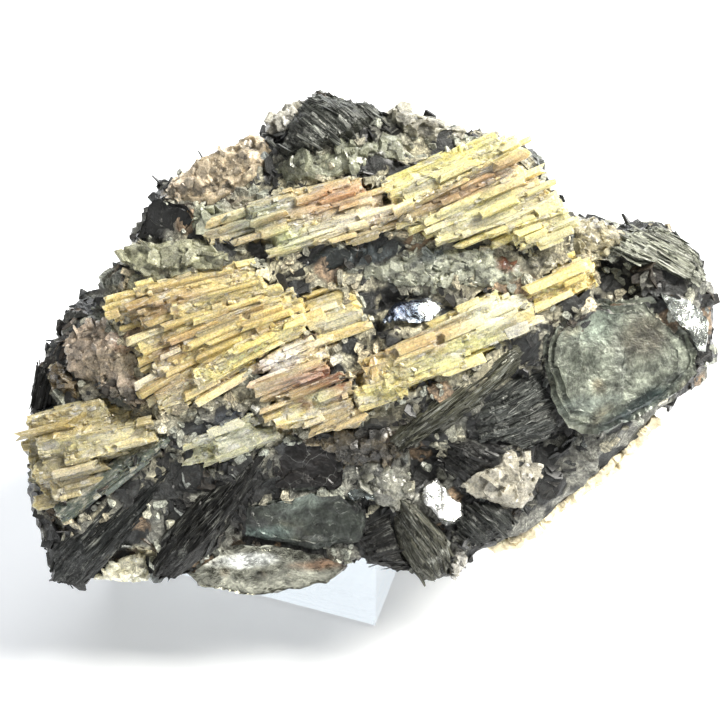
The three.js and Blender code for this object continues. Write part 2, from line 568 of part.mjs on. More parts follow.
// A slab with a given outline and a sloping top, standing on a narrower root.
function slabSolid(outline, topAt, thick, grow, place, rootScale = ROOT_TAPER) {
  const shape = new THREE.Shape(outline.map(([u, v]) => new THREE.Vector2(u, v)));
  const geometry = new THREE.ExtrudeGeometry(shape, { depth: 1, bevelEnabled: false });
  const places = geometry.getAttribute('position');
  const [mu, mv] = middleOf(outline);
  for (let i = 0; i < places.count; i++) {
    const raised = places.getZ(i) > 0.5;
    const taper = raised ? 1 : rootScale;
    const u = mu + (places.getX(i) - mu) * taper;
    const v = mv + (places.getY(i) - mv) * taper;
    const w = topAt(u, v) + (raised ? grow : -thick - grow);
    const point = place(u, v, w);
    places.setXYZ(i, point.x, point.y, point.z);
  }
  return solidOf(geometry);
}

// The columns of a bundle, no deeper than they need to be rooted in its bed.
function columnsSolid({ rows, bed, outline }, number, place, grow) {
  return joined(rows.map((row, k) => {
    const depth = outline ? Math.min(COLUMN_DEPTH, row[5] - bed + BED_SINK) : LONE_COLUMN_DEPTH;
    return columnSolid(row, depth, number * 20 + k, place, grow);
  }));
}

// A bundle: its columns grown together over a common bed. As a cutter it is a straight shaft that also
// keeps the room above the columns clear.
function bundleSolid(bundle, number, place, grow) {
  const columns = columnsSolid(bundle, number, place, grow);
  if (!bundle.outline) return columns;
  const cutter = grow > 0;
  const top = bundle.bed + (cutter ? BUNDLE_CLEARANCE : 0);
  const depth = ROOT_DEPTH + top - bundle.bed;
  const outline = spreadOutline(bundle.outline, 1.4 * grow);
  return slabSolid(outline, () => top, depth, grow, place, cutter ? 1 : ROOT_TAPER).add(columns);
}

// A book of mica lying with its cleavage face outwards, with smaller stacks of sheets on top.
function bookSolid({ outline, w, tip, steps }, place, grow) {
  const [mu, mv] = middleOf(outline);
  const faceAt = (u, v) => w + tip[0] * (u - mu) + tip[1] * (v - mv);
  const base = slabSolid(spreadOutline(outline, 1.4 * grow), faceAt, ROOT_DEPTH, grow, place);
  const stacks = steps.map((scale, k) => {
    const tier = k + 1;
    const shifted = spreadOutline(outline, 1.4 * grow, scale).map(([u, v]) => [u - 0.2 * tier, v + 0.3 * tier]);
    const height = SHEET_STEP * tier;
    return slabSolid(shifted, (u, v) => faceAt(u, v) + height, 2 * SHEET_STEP + height, grow, place);
  });
  return joined([base, ...stacks]);
}

// A broken lump: the hull of its rim, of a raised and uneven crest and of a narrower root.
function lumpSolid({ outline, w, crest, fill = 0 }, number, place, grow) {
  const points = [];
  spreadOutline(outline, fill + 1.4 * grow).forEach(([u, v]) => points.push(place(u, v, w + grow / 2)));
  spreadOutline(outline, grow, 0.62).forEach(([u, v], k) => {
    points.push(place(u, v, w + crest * (0.55 + 0.45 * chance(number, k)) + grow));
  });
  spreadOutline(outline, grow, LUMP_TAPER).forEach(([u, v]) => points.push(place(u, v, w - ROOT_DEPTH - grow)));
  return solidOf(new ConvexGeometry(points));
}

// The rind: a wedge-shaped strip whose outer side follows the stone's edge.
function rindSolid({ edge, width, depth, w }, grow) {
  const [mu, mv] = OUTLINE_MIDDLE;
  const points = [];
  edge.forEach(([u, v]) => {
    const length = Math.hypot(u - mu, v - mv);
    const inward = [(mu - u) / length, (mv - v) / length];
    const at = (inset, depthAt) => seen(u + inward[0] * inset, v + inward[1] * inset, depthAt);
    points.push(at(-grow, w), at(width + grow, w + 1 + grow), at(1.5 - grow, w - depth - grow));
    points.push(at(width + 3 + grow, w - depth - grow));
  });
  return solidOf(new ConvexGeometry(points));
}

// The clear block, with chamfered edges.
function blockSolid() {
  const half = BLOCK_SIDE / 2;
  const level = (inset, z) => [[-1, -1], [1, -1], [1, 1], [-1, 1]].map(
    ([x, y]) => new THREE.Vector3(x * (half - inset), y * (half - inset), z),
  );
  const points = [
    ...level(BLOCK_EDGE, 0), ...level(0, BLOCK_EDGE), ...level(0, BLOCK_HEIGHT - BLOCK_EDGE),
    ...level(BLOCK_EDGE, BLOCK_HEIGHT),
  ];
  return solidOf(new ConvexGeometry(points));
}

// Everything below the stone's resting level, in the frame of the display face.
function belowUnderside() {
  const size = 300;
  const box = new THREE.BoxGeometry(size, size, size).translate(0, 0, UNDERSIDE - size / 2);
  box.applyMatrix4(new THREE.Matrix4().makeRotationX(FACE_ELEVATION - Math.PI / 2));
  return solidOf(box);
}

const TOPAZ_FINISH = { roughness: 0.35, metalness: 0 };
const MICA_FINISH = { roughness: 0.25, metalness: 0.35, color: 0x3a3f3d };
const QUARTZ_FINISH = { roughness: 0.3, metalness: 0 };
const MATRIX_FINISH = { roughness: 0.6, metalness: 0.1, color: 0x5d5c57 };
const RIND_FINISH = { roughness: 0.85, metalness: 0 };

// Each piece can make itself, and a larger one of itself that cuts its neighbours back.
const bundle = (p, number, place) => ({
  ...p, finish: TOPAZ_FINISH,
  make: (grow) => bundleSolid(p, number, place, grow),
});
const book = (p, place) => ({
  ...p, finish: MICA_FINISH,
  make: (grow) => bookSolid(p, place, grow),
});
const lump = (p, number, finish) => ({
  ...p, finish,
  make: (grow) => lumpSolid(p, number, seen, grow),
});

// The order in which pieces keep their full shape: each one is cut back by those before it.
const pieces = [
  ...TOPAZ.map((p, n) => bundle(p, n + 1, seen)),
  ...MICA.map((p) => book(p, seen)),
  ...MICA_EDGES.map((p, n) => lump(p, n + 40, MICA_FINISH)),
  ...QUARTZ.map((p, n) => lump(p, n + 70, QUARTZ_FINISH)),
  { ...RIND, make: (grow) => rindSolid(RIND, grow), finish: RIND_FINISH },
  bundle(BACK_TOPAZ, 30, behind),
  ...BACK_MICA.map((p) => book(p, behind)),
];

function addMesh(group, name, solid, finish) {
  const mesh = new THREE.Mesh(geometryOf(largest(solid)), new THREE.MeshStandardMaterial(finish));
  mesh.name = name;
  group.add(mesh);
  return mesh;
}

// The stone, in the frame of its display face
const TOLERANCE = { piece: 0.16, cutter: 0.2, matrix: 0.5 }; // how far simpler faces may lie from the exact ones
const stone = new THREE.Group();
stone.rotation.x = Math.PI / 2 - FACE_ELEVATION;
const floor = belowUnderside();
const rock = matrixSolid().simplify(TOLERANCE.matrix);
let taken = swollen(rock, 1.2 * GAP).add(floor);
for (const piece of pieces) {
  const finish = piece.color === undefined ? piece.finish : { ...piece.finish, color: piece.color };
  addMesh(stone, piece.name, piece.make(0).subtract(taken).simplify(TOLERANCE.piece), finish);
  taken = taken.add(piece.make(GAP).simplify(TOLERANCE.cutter));
}
addMesh(stone, 'matrix', rock.subtract(floor), MATRIX_FINISH);

// The block, level
const block = addMesh(new THREE.Group(), 'display_block', blockSolid(), {
  color: 0xe8f0ea, roughness: 0.05, metalness: 0, transparent: true, opacity: 0.35,
});
block.rotation.z = BLOCK_TURN;
block.position.set(BLOCK_CENTRE[0], BLOCK_CENTRE[1], UNDERSIDE - GAP - BLOCK_HEIGHT);

// The whole, set down so that its box stands on the origin.
const specimen = new THREE.Group();
specimen.add(stone, block);
const extent = new THREE.Box3().setFromObject(specimen, true);
const middle = extent.getCenter(new THREE.Vector3());
specimen.position.set(-middle.x, -middle.y, -extent.min.z);

export default specimen;
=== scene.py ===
"""The looks of a specimen of pycnite, the columnar topaz, with dark mica and grey quartz, on a clear block.

Shapes are worked out in millimetres in the frame of the display face: u to the right, v up the face and
w towards the eye. Each finished piece is then made in metres, in the row frame, and stands for its CAD node.
"""

import math

import bpy
import numpy as np
from mathutils import Matrix, Vector
from mathutils.bvhtree import BVHTree


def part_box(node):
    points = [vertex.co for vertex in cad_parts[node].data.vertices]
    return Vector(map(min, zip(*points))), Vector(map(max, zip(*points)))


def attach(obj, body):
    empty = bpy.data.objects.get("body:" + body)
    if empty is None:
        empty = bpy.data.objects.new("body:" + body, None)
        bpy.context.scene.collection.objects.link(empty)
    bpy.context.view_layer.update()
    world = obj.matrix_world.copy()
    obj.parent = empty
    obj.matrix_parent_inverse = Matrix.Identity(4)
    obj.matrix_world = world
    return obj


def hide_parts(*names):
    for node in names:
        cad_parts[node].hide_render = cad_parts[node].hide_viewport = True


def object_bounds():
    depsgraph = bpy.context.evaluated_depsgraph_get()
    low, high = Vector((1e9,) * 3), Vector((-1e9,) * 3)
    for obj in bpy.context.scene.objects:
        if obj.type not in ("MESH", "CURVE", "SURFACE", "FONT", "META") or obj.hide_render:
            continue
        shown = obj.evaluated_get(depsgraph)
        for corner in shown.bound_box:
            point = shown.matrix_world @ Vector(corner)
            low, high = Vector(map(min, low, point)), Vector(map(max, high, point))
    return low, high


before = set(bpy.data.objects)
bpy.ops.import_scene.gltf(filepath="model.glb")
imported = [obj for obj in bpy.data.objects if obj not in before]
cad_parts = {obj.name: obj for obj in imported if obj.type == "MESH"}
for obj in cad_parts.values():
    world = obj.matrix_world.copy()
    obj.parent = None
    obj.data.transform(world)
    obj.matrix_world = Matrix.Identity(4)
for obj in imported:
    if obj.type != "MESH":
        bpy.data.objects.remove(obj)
cad_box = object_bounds()

# The frame of the display face
MM = 0.001
FACE_ELEVATION = math.radians(40)
EYE_DISTANCE = 181
# The middle of the face, in mm from the middle of the block's underside.
FACE_FROM_BLOCK = np.array([13.4, -22.7, 53.3])
U = np.array([1.0, 0.0, 0.0])
V = np.array([0.0, math.sin(FACE_ELEVATION), math.cos(FACE_ELEVATION)])
W = np.array([0.0, -math.cos(FACE_ELEVATION), math.sin(FACE_ELEVATION)])
AXES = np.array([U, V, W])
block_low, block_high = (np.array(corner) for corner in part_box("display_block"))
block_middle = (block_low + block_high) / 2
FACE_MIDDLE = np.append(block_middle[:2], block_low[2]) + FACE_FROM_BLOCK * MM


def to_face(points):
    return (points - FACE_MIDDLE) @ AXES.T / MM


def to_row(points):
    return points * MM @ AXES + FACE_MIDDLE


# Random numbers and noise that are the same each time
def hashed(x, y, z, seed):
    """A number from 0 to 1 for each whole-numbered place."""
    h = (x.astype(np.int64) * 374761393 + y.astype(np.int64) * 668265263 + z.astype(np.int64) * 1440662683
         + seed * 974634777) & 0xFFFFFFFF
    h = ((h ^ (h >> 13)) * 1274126177) & 0xFFFFFFFF
    h = ((h ^ (h >> 15)) * 2246822519) & 0xFFFFFFFF
    return ((h ^ (h >> 16)) & 0xFFFFFF) / 0xFFFFFF


def shade(ids, seed):
    """A number from 0 to 1 for each cell's own number."""
    zero = np.zeros_like(ids)
    return hashed(ids, zero, zero, seed)


def leaning(ids, seed):
    """A way to lean for each cell's own number, from -0.5 to 0.5 along each axis."""
    return np.stack([shade(ids, seed + k) - 0.5 for k in (0, 1, 2)], axis=1)


def noise(points, size, seed=0, octaves=1):
    """Smooth noise from -1 to 1. The size may differ by axis."""
    total, weight, reach = 0.0, 1.0, 0.0
    places = np.asarray(points) / size
    for octave in range(octaves):
        base = np.floor(places)
        part = places - base
        fade = part * part * (3 - 2 * part)
        x, y, z = base.T.astype(np.int64)
        value = 0.0
        for dx in (0, 1):
            for dy in (0, 1):
                for dz in (0, 1):
                    share = np.prod(np.where([dx, dy, dz], fade, 1 - fade), axis=1)
                    value = value + share * hashed(x + dx, y + dy, z + dz, seed + 31 * octave)
        total = total + weight * (2 * value - 1)
        reach += weight
        weight *= 0.5
        places = places * 2.03 + 5.7
    return total / reach


def drift(points, size, seed):
    """A smooth uneven shift along each axis."""
    return np.stack([noise(points, size, seed + k, 2) for k in (0, 1, 2)], axis=1)


def cells(points, size, seed=0, flat=False):
    """The nearest of a set of scattered points: its number, the way to it, and how near the border is.
    With flat, cells don't divide the first axis, so that they are long prisms."""
    places = np.asarray(points) / size
    if flat:
        places = places * [0, 1, 1]
    base = np.floor(places).astype(np.int64)
    count = len(places)
    best, second = np.full(count, 9.0), np.full(count, 9.0)
    number = np.zeros(count, np.int64)
    offset = np.zeros((count, 3))
    for dx in (0,) if flat else (-1, 0, 1):
        for dy in (-1, 0, 1):
            for dz in (-1, 0, 1):
                x, y, z = (base + [dx, dy, dz]).T
                spot = np.stack([hashed(x, y, z, seed + k) for k in (1, 2, 3)], axis=1)
                way = np.stack([x, y, z], axis=1) + spot * 0.9 - places
                if flat:
                    way[:, 0] = 0
                reach = np.einsum("ij,ij->i", way, way)
                nearer = reach < best
                second = np.where(nearer, best, np.minimum(second, reach))
                number = np.where(nearer, (x * 7919 + y * 104729 + z * 15485863) & 0xFFFFFF, number)
                offset[nearer] = way[nearer]
                best = np.where(nearer, reach, best)
    return number, offset, np.sqrt(second) - np.sqrt(best)


def facets(points, size, seed, tilt, step):
    """Heights of a broken surface, where each cell is a flat facet that leans its own way, and its number."""
    number, offset, _ = cells(points, size, seed)
    height = 2 * tilt * np.einsum("ij,ij->i", offset, leaning(number, seed + 11))
    height = height + step * (shade(number, seed + 14) - 0.5)
    return height * np.mean(size), number


# Meshes as arrays
def node_mesh(name):
    """Corners in the face frame and triangles of a CAD node, with equal corners made one."""
    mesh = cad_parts[name].data
    mesh.calc_loop_triangles()
    corners = np.empty(len(mesh.vertices) * 3, np.float32)
    mesh.vertices.foreach_get("co", corners)
    triangles = np.empty(len(mesh.loop_triangles) * 3, np.int32)
    mesh.loop_triangles.foreach_get("vertices", triangles)
    unique, same = np.unique(corners.reshape(-1, 3), axis=0, return_inverse=True)
    triangles = same.ravel()[triangles].reshape(-1, 3)
    whole = (triangles[:, 0] != triangles[:, 1]) & (triangles[:, 1] != triangles[:, 2])
    return to_face(unique.astype(float)), triangles[whole & (triangles[:, 0] != triangles[:, 2])]


SPLITTING_ROUNDS = 14


def refine(points, triangles, limits):
    """Splits edges until none is longer than the limit of a triangle beside it.
    The parts keep their triangle's limit."""
    for _ in range(SPLITTING_ROUNDS):
        edges = np.sort(triangles[:, [[0, 1], [1, 2], [2, 0]]], axis=2).reshape(-1, 2)
        numbers = edges[:, 0] * len(points) + edges[:, 1]
        _, first, place = np.unique(numbers, return_index=True, return_inverse=True)
        place = place.ravel()
        longest = np.full(len(first), np.inf)
        np.minimum.at(longest, place, np.repeat(limits, 3))
        start, end = points[edges[first, 0]], points[edges[first, 1]]
        long = np.linalg.norm(end - start, axis=1) > longest
        if not long.any():
            break
        added = np.full(len(first), -1)
        added[long] = len(points) + np.arange(long.sum())
        points = np.vstack([points, (start + end)[long] / 2])
        triangles, parents = split(points, triangles, added[place].reshape(-1, 3))
        limits = limits[parents]
    return points, triangles, limits


def split(points, triangles, halves):
    """The triangles made of these ones, and each one's parent. halves gives the new points on their edges."""
    amount = (halves >= 0).sum(axis=1)
    made, parents = [], []

    def keep(corners, chosen):
        made.append(np.stack(corners, 1)[chosen])
        parents.append(np.flatnonzero(chosen))

    keep(triangles.T, amount == 0)
    for turn in range(3):
        order = [(turn + k) % 3 for k in range(3)]
        a, b, c = triangles[:, order].T
        ab, bc, ca = halves[:, order].T
        one = (amount == 1) & (ab >= 0)
        keep([a, ab, c], one)
        keep([ab, b, c], one)
        two = (amount == 2) & (ca < 0)
        keep([ab, b, bc], two)
        one_way, other_way = points[a] - points[bc], points[ab] - points[c]
        near = two & (np.linalg.norm(one_way, axis=1) < np.linalg.norm(other_way, axis=1))
        keep([a, ab, bc], near)
        keep([a, bc, c], near)
        keep([a, ab, c], two & ~near)
        keep([ab, bc, c], two & ~near)
    a, b, c = triangles.T
    ab, bc, ca = halves.T
    for corners in ([a, ab, ca], [ab, b, bc], [ca, bc, c], [ab, bc, ca]):
        keep(corners, amount == 3)
    return np.vstack(made), np.concatenate(parents)


def face_ways(points, triangles):
    """Which way each triangle faces, as a vector twice as long as its area."""
    a, b, c = (points[triangles[:, k]] for k in range(3))
    return np.cross(b - a, c - a)


def corner_normals(points, triangles):
    face = face_ways(points, triangles)
    total = np.zeros_like(points)
    for k in range(3):
        for axis in range(3):
            total[:, axis] += np.bincount(triangles[:, k], face[:, axis], len(points))
    return total / np.maximum(np.linalg.norm(total, axis=1), 1e-12)[:, None]


# What is seen, and how finely it is divided
FINE, MEDIUM, COARSE = 0.4, 0.8, 1.8
EYE = Vector((0, 0, EYE_DISTANCE))
SIDE_WAYS = [Vector(way).normalized() for way in (
    (1, 0, 0.4), (-1, 0, 0.4), (0, 1, 0.4), (0, -1, 0.4), (0.8, 0.8, -0.6), (-0.8, 0.8, -0.6), (0, 0.3, -1),
    (0.8, -0.4, -0.6), (-0.8, -0.4, -0.6), (0, -1, -0.6),
)]

stone_nodes = sorted(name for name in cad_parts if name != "display_block")
stone_meshes = {name: node_mesh(name) for name in stone_nodes}
starts = np.cumsum([0] + [len(points) for points, _ in stone_meshes.values()])
all_points = np.vstack([points for points, _ in stone_meshes.values()])
all_triangles = np.vstack([triangles + start for (_, triangles), start in zip(stone_meshes.values(), starts)])
all_tree = BVHTree.FromPolygons(all_points.tolist(), all_triangles.tolist())


def triangle_frames(points, triangles):
    a, b, c = (points[triangles[:, k]] for k in range(3))
    face = np.cross(b - a, c - a)
    return (a + b + c) / 3, face / np.maximum(np.linalg.norm(face, axis=1), 1e-12)[:, None]


def edge_limits(points, triangles, fine, medium):
    """The longest edge that each triangle may have: short where the eye sees it, longer where others do."""
    limits = np.full(len(triangles), COARSE)
    for index, (centre, normal) in enumerate(zip(*triangle_frames(points, triangles))):
        start = Vector(centre + 0.02 * normal)
        outward = Vector(normal)
        to_eye = (EYE - start).normalized()
        facing = outward.dot(to_eye)
        if facing > 0 and not all_tree.ray_cast(start, to_eye)[0]:
            limits[index] = fine if facing > 0.3 else 0.5 * (fine + medium)
        elif any(outward.dot(way) > 0.1 and not all_tree.ray_cast(start, way)[0] for way in SIDE_WAYS):
            limits[index] = medium
    return limits


def divided(name, fine=FINE, medium=MEDIUM, first=COARSE, raise_to=None):
    """A node's mesh, divided finely where it is seen, and how much each corner may be moved."""
    points, triangles = stone_meshes[name]
    _, normals = triangle_frames(points, triangles)
    points, triangles, _ = refine(points, triangles, np.where(normals[:, 2] > 0.2, first, COARSE))
    if raise_to:
        points[:, 2] = np.maximum(points[:, 2], raise_to(points))
    limits = edge_limits(points, triangles, fine, medium)
    points, triangles, limits = refine(points, triangles, limits)
    free = np.zeros(len(points))
    free[triangles[limits < COARSE].ravel()] = 1
    return points, triangles, free


def warped(points, amount):
    """The same uneven shift for all pieces: outlines turn ragged and neighbours stay side by side."""
    large, small = drift(points, 5.5, 500), drift(points, 1.9, 510)
    return points + amount * (large * [0.9, 0.9, 0.4] + small * [0.4, 0.4, 0.2])


# The level that the rock fills up to between the pieces, on a grid over the face
STEP = 0.5
LOW_CORNER, GRID_SIZE = np.array([-60.0, -44.0]), (242, 178)
# A level in front of the whole stone
IN_FRONT = 60
BACK_LEVEL, RIM_LEVEL = -25, -8.5
# The level where there is nothing to fill up to
NOTHING = -99
ROCK_REACH, ROCK_BELOW = 5, 0.55
BUNDLE_REACH, BUNDLE_RIM = 3, 1


def front_view():
    """The level of the first surface met from the front on each grid place, and the number of its node."""
    level, node = np.full(GRID_SIZE, np.nan), np.full(GRID_SIZE, -1)
    for i in range(GRID_SIZE[0]):
        for j in range(GRID_SIZE[1]):
            place = LOW_CORNER + STEP * np.array([i, j])
            hit, _, face, _ = all_tree.ray_cast(Vector((*place, IN_FRONT)), Vector((0, 0, -1)))
            if hit:
                level[i, j] = hit[2]
                node[i, j] = np.searchsorted(starts, all_triangles[face, 0], side="right") - 1
    return level, node


def grown(mask, reach):
    """The places that have a neighbour in the mask, as far as the reach."""
    return ~shrunk(~mask, reach)


def smoothed(mask, reach):
    """How much of each place's neighbourhood is in the mask, from 0 to 1."""
    share = mask.astype(float)
    for axis in (0, 1):
        share = np.mean([np.roll(share, k, axis) for k in range(-reach, reach + 1)], axis=0)
    return share


def shrunk(mask, reach):
    """The places whose neighbours, as far as the reach, are all in the mask."""
    for axis in (0, 1):
        mask = np.all([np.roll(mask, k, axis) for k in range(-reach, reach + 1)], axis=0)
    return mask


def closed(grid, reach):
    """The heights with every cleft narrower than twice the reach filled up to the lower of its sides."""
    high = np.where(np.isnan(grid), -np.inf, grid)
    for axis in (0, 1):
        high = np.max([np.roll(high, k, axis) for k in range(-reach, reach + 1)], axis=0)
    high = np.where(np.isinf(high), np.inf, high)
    for axis in (0, 1):
        high = np.min([np.roll(high, k, axis) for k in range(-reach, reach + 1)], axis=0)
    return np.where(np.isinf(high), NOTHING, high)


def height_at(grid, points):
    i, j = np.clip(np.rint((points[:, :2] - LOW_CORNER) / STEP).astype(int), 0, np.array(GRID_SIZE) - 1).T
    return grid[i, j]


front_level, front_node = front_view()
is_topaz = np.isin(front_node, [k for k, name in enumerate(stone_nodes) if name.startswith("topaz")])
near_topaz = smoothed(grown(is_topaz, 7), 4)
# Round these pieces the rock stays lower and holds no loose flakes.
BARE = [stone_nodes.index(name) for name in ("clay_rind", "mica_eye", "mica_sheet_mirror")]
kept_bare = grown(np.isin(front_node, BARE), 3).astype(float)
rock_level = closed(front_level, ROCK_REACH) - ROCK_BELOW * (1.45 - near_topaz + 1.5 * kept_bare)
rock_fill = np.where(shrunk(is_topaz, 1), NOTHING, rock_level)


def bundle_fill(name):
    """The level that the room between a bundle's columns is filled up to, a little inside its border."""
    own = front_node == stone_nodes.index(name)
    level = closed(np.where(own, front_level, np.nan), BUNDLE_REACH)
    return np.where(shrunk(own, BUNDLE_RIM), level, NOTHING)


# Colours
def linear(colour):
    colour = np.asarray(colour, float)
    return np.where(colour <= 0.04045, colour / 12.92, ((colour + 0.055) / 1.055) ** 2.4)


def blended(colours, towards, share):
    return colours + (np.asarray(towards) - colours) * np.clip(share, 0, 1)[:, None]


# Patches of colour on the topaz, as seen: middle, half length, half width, angle, colour and strength.
PATCHES = [
    (11.5, 30.4, 10.5, 2.6, 24, (0.83, 0.77, 0.38), 0.9),
    (17.5, 26.2, 11, 1.9, 26, (0.60, 0.46, 0.32), 0.9),
    (9.5, 22.6, 5, 1.4, 26, (0.56, 0.43, 0.28), 0.7),
    (24.5, 26.8, 3.6, 2.6, 20, (0.90, 0.80, 0.62), 0.7),
    (18, 22.4, 8, 2, 22, (0.74, 0.70, 0.42), 0.6),
    (26.5, 20.4, 5, 3, 18, (0.90, 0.83, 0.52), 0.8),
    (-15, 21.5, 5, 2.6, 17, (0.58, 0.60, 0.50), 0.85),
    (-3.4, 24.2, 7, 2.2, 18, (0.72, 0.54, 0.38), 0.9),
    (3.2, 22.4, 2.6, 2.6, 30, (0.90, 0.80, 0.66), 0.8),
    (-10.6, 17.6, 3.6, 2.2, 17, (0.70, 0.72, 0.50), 0.9),
    (-3, 20, 6, 1.3, 17, (0.88, 0.83, 0.66), 0.8),
    (-25, 11.4, 9, 2.6, 15, (0.74, 0.62, 0.36), 0.6),
    (-33, 7.4, 3.6, 3, 20, (0.52, 0.40, 0.22), 0.8),
    (-20, 5.6, 8, 1.2, 24, (0.46, 0.34, 0.20), 0.6),
    (-17, 1.6, 8.6, 2.2, 28, (0.86, 0.78, 0.44), 0.9),
    (-27, -3, 3, 2.6, 20, (0.80, 0.70, 0.54), 0.7),
    (-29, 1.4, 3, 2.4, 20, (0.58, 0.42, 0.30), 0.7),
    (-19, -4.4, 3.4, 2.2, 20, (0.78, 0.66, 0.60), 0.8),
    (-12, -0.2, 4, 1.9, 24, (0.92, 0.87, 0.80), 0.9),
    (-8, -2.8, 4.4, 1.3, 22, (0.66, 0.44, 0.36), 0.8),
    (-4.6, -3.6, 2.4, 1.6, 30, (0.44, 0.24, 0.16), 0.8),
    (-9, -8, 4.4, 1.8, 10, (0.76, 0.69, 0.38), 0.9),
    (-6, -5.6, 3, 1, 24, (0.70, 0.72, 0.56), 0.8),
    (-3.6, 5.4, 4, 2, 20, (0.93, 0.88, 0.70), 0.8),
    (-6.4, 8.4, 2.6, 2.4, 30, (0.80, 0.70, 0.40), 0.8),
    (1.4, -1.8, 3, 2.2, 24, (0.80, 0.66, 0.42), 0.8),
    (11, 3.2, 8, 1.4, 23, (0.78, 0.66, 0.44), 0.8),
    (15, 1.4, 8, 2, 22, (0.78, 0.76, 0.48), 0.8),
    (20, 7.4, 6, 2.6, 22, (0.93, 0.90, 0.72), 0.85),
    (3, -4.6, 4.6, 1.8, 14, (0.80, 0.73, 0.38), 0.8),
    (29, 10.6, 5, 2.4, 24, (0.90, 0.78, 0.42), 0.9),
    (-45, -9.6, 5, 2.2, 14, (0.60, 0.52, 0.28), 0.8),
    (-36.4, -12.4, 6, 2, 14, (0.86, 0.80, 0.58), 0.8),
    (-44, -12.6, 5, 1.2, 12, (0.78, 0.72, 0.46), 0.7),
    (-43.6, -18.4, 4, 2.4, 20, (0.64, 0.58, 0.44), 0.7),
]
# Patches on the large mica books, in the same way.
MICA_PATCHES = [
    (42.8, -6.6, 8, 1.7, 36, (0.14, 0.20, 0.20), 0.95),
    (36.8, 5.6, 4.2, 2.8, 20, (0.52, 0.57, 0.52), 0.7),
    (34, -6.8, 5, 1.5, 12, (0.60, 0.64, 0.60), 0.7),
    (42.4, 3.6, 5, 4, 10, (0.36, 0.34, 0.29), 0.7),
    (33, -1, 3.4, 2.6, 40, (0.30, 0.32, 0.28), 0.7),
    (39, 0.6, 1, 4.6, 8, (0.56, 0.58, 0.54), 0.6),
    (50.6, 6.4, 1.6, 3.4, 40, (0.90, 0.92, 0.90), 0.8),
    (-9, -21.4, 3, 1.8, 10, (0.46, 0.50, 0.47), 0.8),
    (-16, -27, 5, 1.4, 5, (0.38, 0.44, 0.42), 0.8),
    (-6, -31.6, 5, 1, 4, (0.42, 0.31, 0.22), 0.8),
    # Painted reflection: the two near-white patches below, on the lower edge of the stone, paint the pale
    # floor that the mica reflects.
    (-18, -31, 5, 1.2, 4, (0.93, 0.94, 0.92), 0.9),
    (1, -32, 3, 1, 6, (0.86, 0.86, 0.82), 0.8),
    (5.4, 8.2, 3.4, 2.6, 0, (0.16, 0.19, 0.25), 0.95),
    # Painted reflection: the white patch below paints the light that the right half of the mica eye reflects.
    (10.6, 7.6, 1.5, 1.5, 0, (0.97, 0.98, 0.97), 0.95),
]
# Dark and rusty patches on the quartz and the rock, in the same way.
ROCK_PATCHES = [
    (1, -14.4, 6, 2.2, 0, (0.12, 0.12, 0.12), 0.9),
    (2, -10.4, 5.6, 2.4, 20, (0.06, 0.06, 0.06), 0.95),
    (-19, -9.2, 6, 1.8, 15, (0.20, 0.22, 0.25), 0.75),
    (-12.6, -8.2, 2, 1, 10, (0.10, 0.13, 0.20), 0.8),
    (1, 15.4, 5.4, 1.7, 14, (0.22, 0.25, 0.26), 0.8),
    (11, 15.6, 4, 1.4, 20, (0.30, 0.34, 0.36), 0.7),
    (-40, -2, 4, 3, 60, (0.34, 0.30, 0.20), 0.6),
    (-35, 0.6, 3, 2.4, 0, (0.62, 0.58, 0.48), 0.6),
    (-36.4, -5.6, 2.4, 2.4, 0, (0.20, 0.21, 0.18), 0.7),
    (-31.6, 3, 2, 1, 0, (0.10, 0.10, 0.09), 0.7),
    (-27.6, 27.4, 5, 2.4, 30, (0.80, 0.74, 0.66), 0.6),
    (-18, 23.6, 3, 2.4, 0, (0.44, 0.40, 0.34), 0.6),
    (30, -9, 3, 2, 40, (0.08, 0.08, 0.08), 0.8),
    (-33, -29.6, 3, 1, 0, (0.86, 0.83, 0.72), 0.8),
]
# Red-brown iron stains: middle, half size and strength.
STAINS = [
    (22, 15.2, 1.6, 0.9), (24.6, 14.2, 0.9, 0.7), (-8.2, -6.8, 0.8, 0.9), (-26.2, 9.2, 1.2, 0.5),
    (-3.6, -3.2, 2.2, 0.8), (2.2, 2.6, 2.4, 0.6), (-15.4, 4, 1.6, 0.5), (-31, -3.6, 1.6, 0.6),
    (-14.8, -2.2, 1.4, 0.6), (-29, 7.6, 1.6, 0.6), (-13, 6.6, 1.6, 0.7), (-8, 13.4, 1.4, 0.6),
    (8, 3.6, 1.8, 0.5), (26.5, 25, 1.4, 0.5), (-36, 2.6, 1.2, 0.6), (-20, 7.4, 1.4, 0.5),
    (-1.8, 24, 1.2, 0.4), (11.4, 1.6, 1.5, 0.35), (-5.8, 8.8, 0.9, 0.5), (-22.4, 0.2, 1.6, 0.5),
]
IRON = linear((0.46, 0.24, 0.14))


def patched(colours, points, patches=PATCHES):
    warp = np.stack([noise(points, 2.6, 71, 2), noise(points, 2.6, 72, 2)], axis=1)
    for u, v, long, wide, angle, colour, strength in patches:
        turn = math.radians(angle)
        du, dv = points[:, 0] - u, points[:, 1] - v
        along = (du * math.cos(turn) + dv * math.sin(turn)) / long + 0.35 * warp[:, 0]
        across = (dv * math.cos(turn) - du * math.sin(turn)) / wide + 0.35 * warp[:, 1]
        share = np.clip(1.6 - 1.3 * np.hypot(along, across), 0, 1)
        colours = blended(colours, linear(colour), strength * share)
    return colours


def stained(colours, points, amount=1.0):
    rough = noise(points, 0.9, 77, 3)
    for u, v, size, strength in STAINS:
        near = np.hypot(points[:, 0] - u, points[:, 1] - v) / size
        colours = blended(colours, IRON, amount * strength * np.clip(1.5 - near + 1.1 * rough, 0, 1))
    return colours


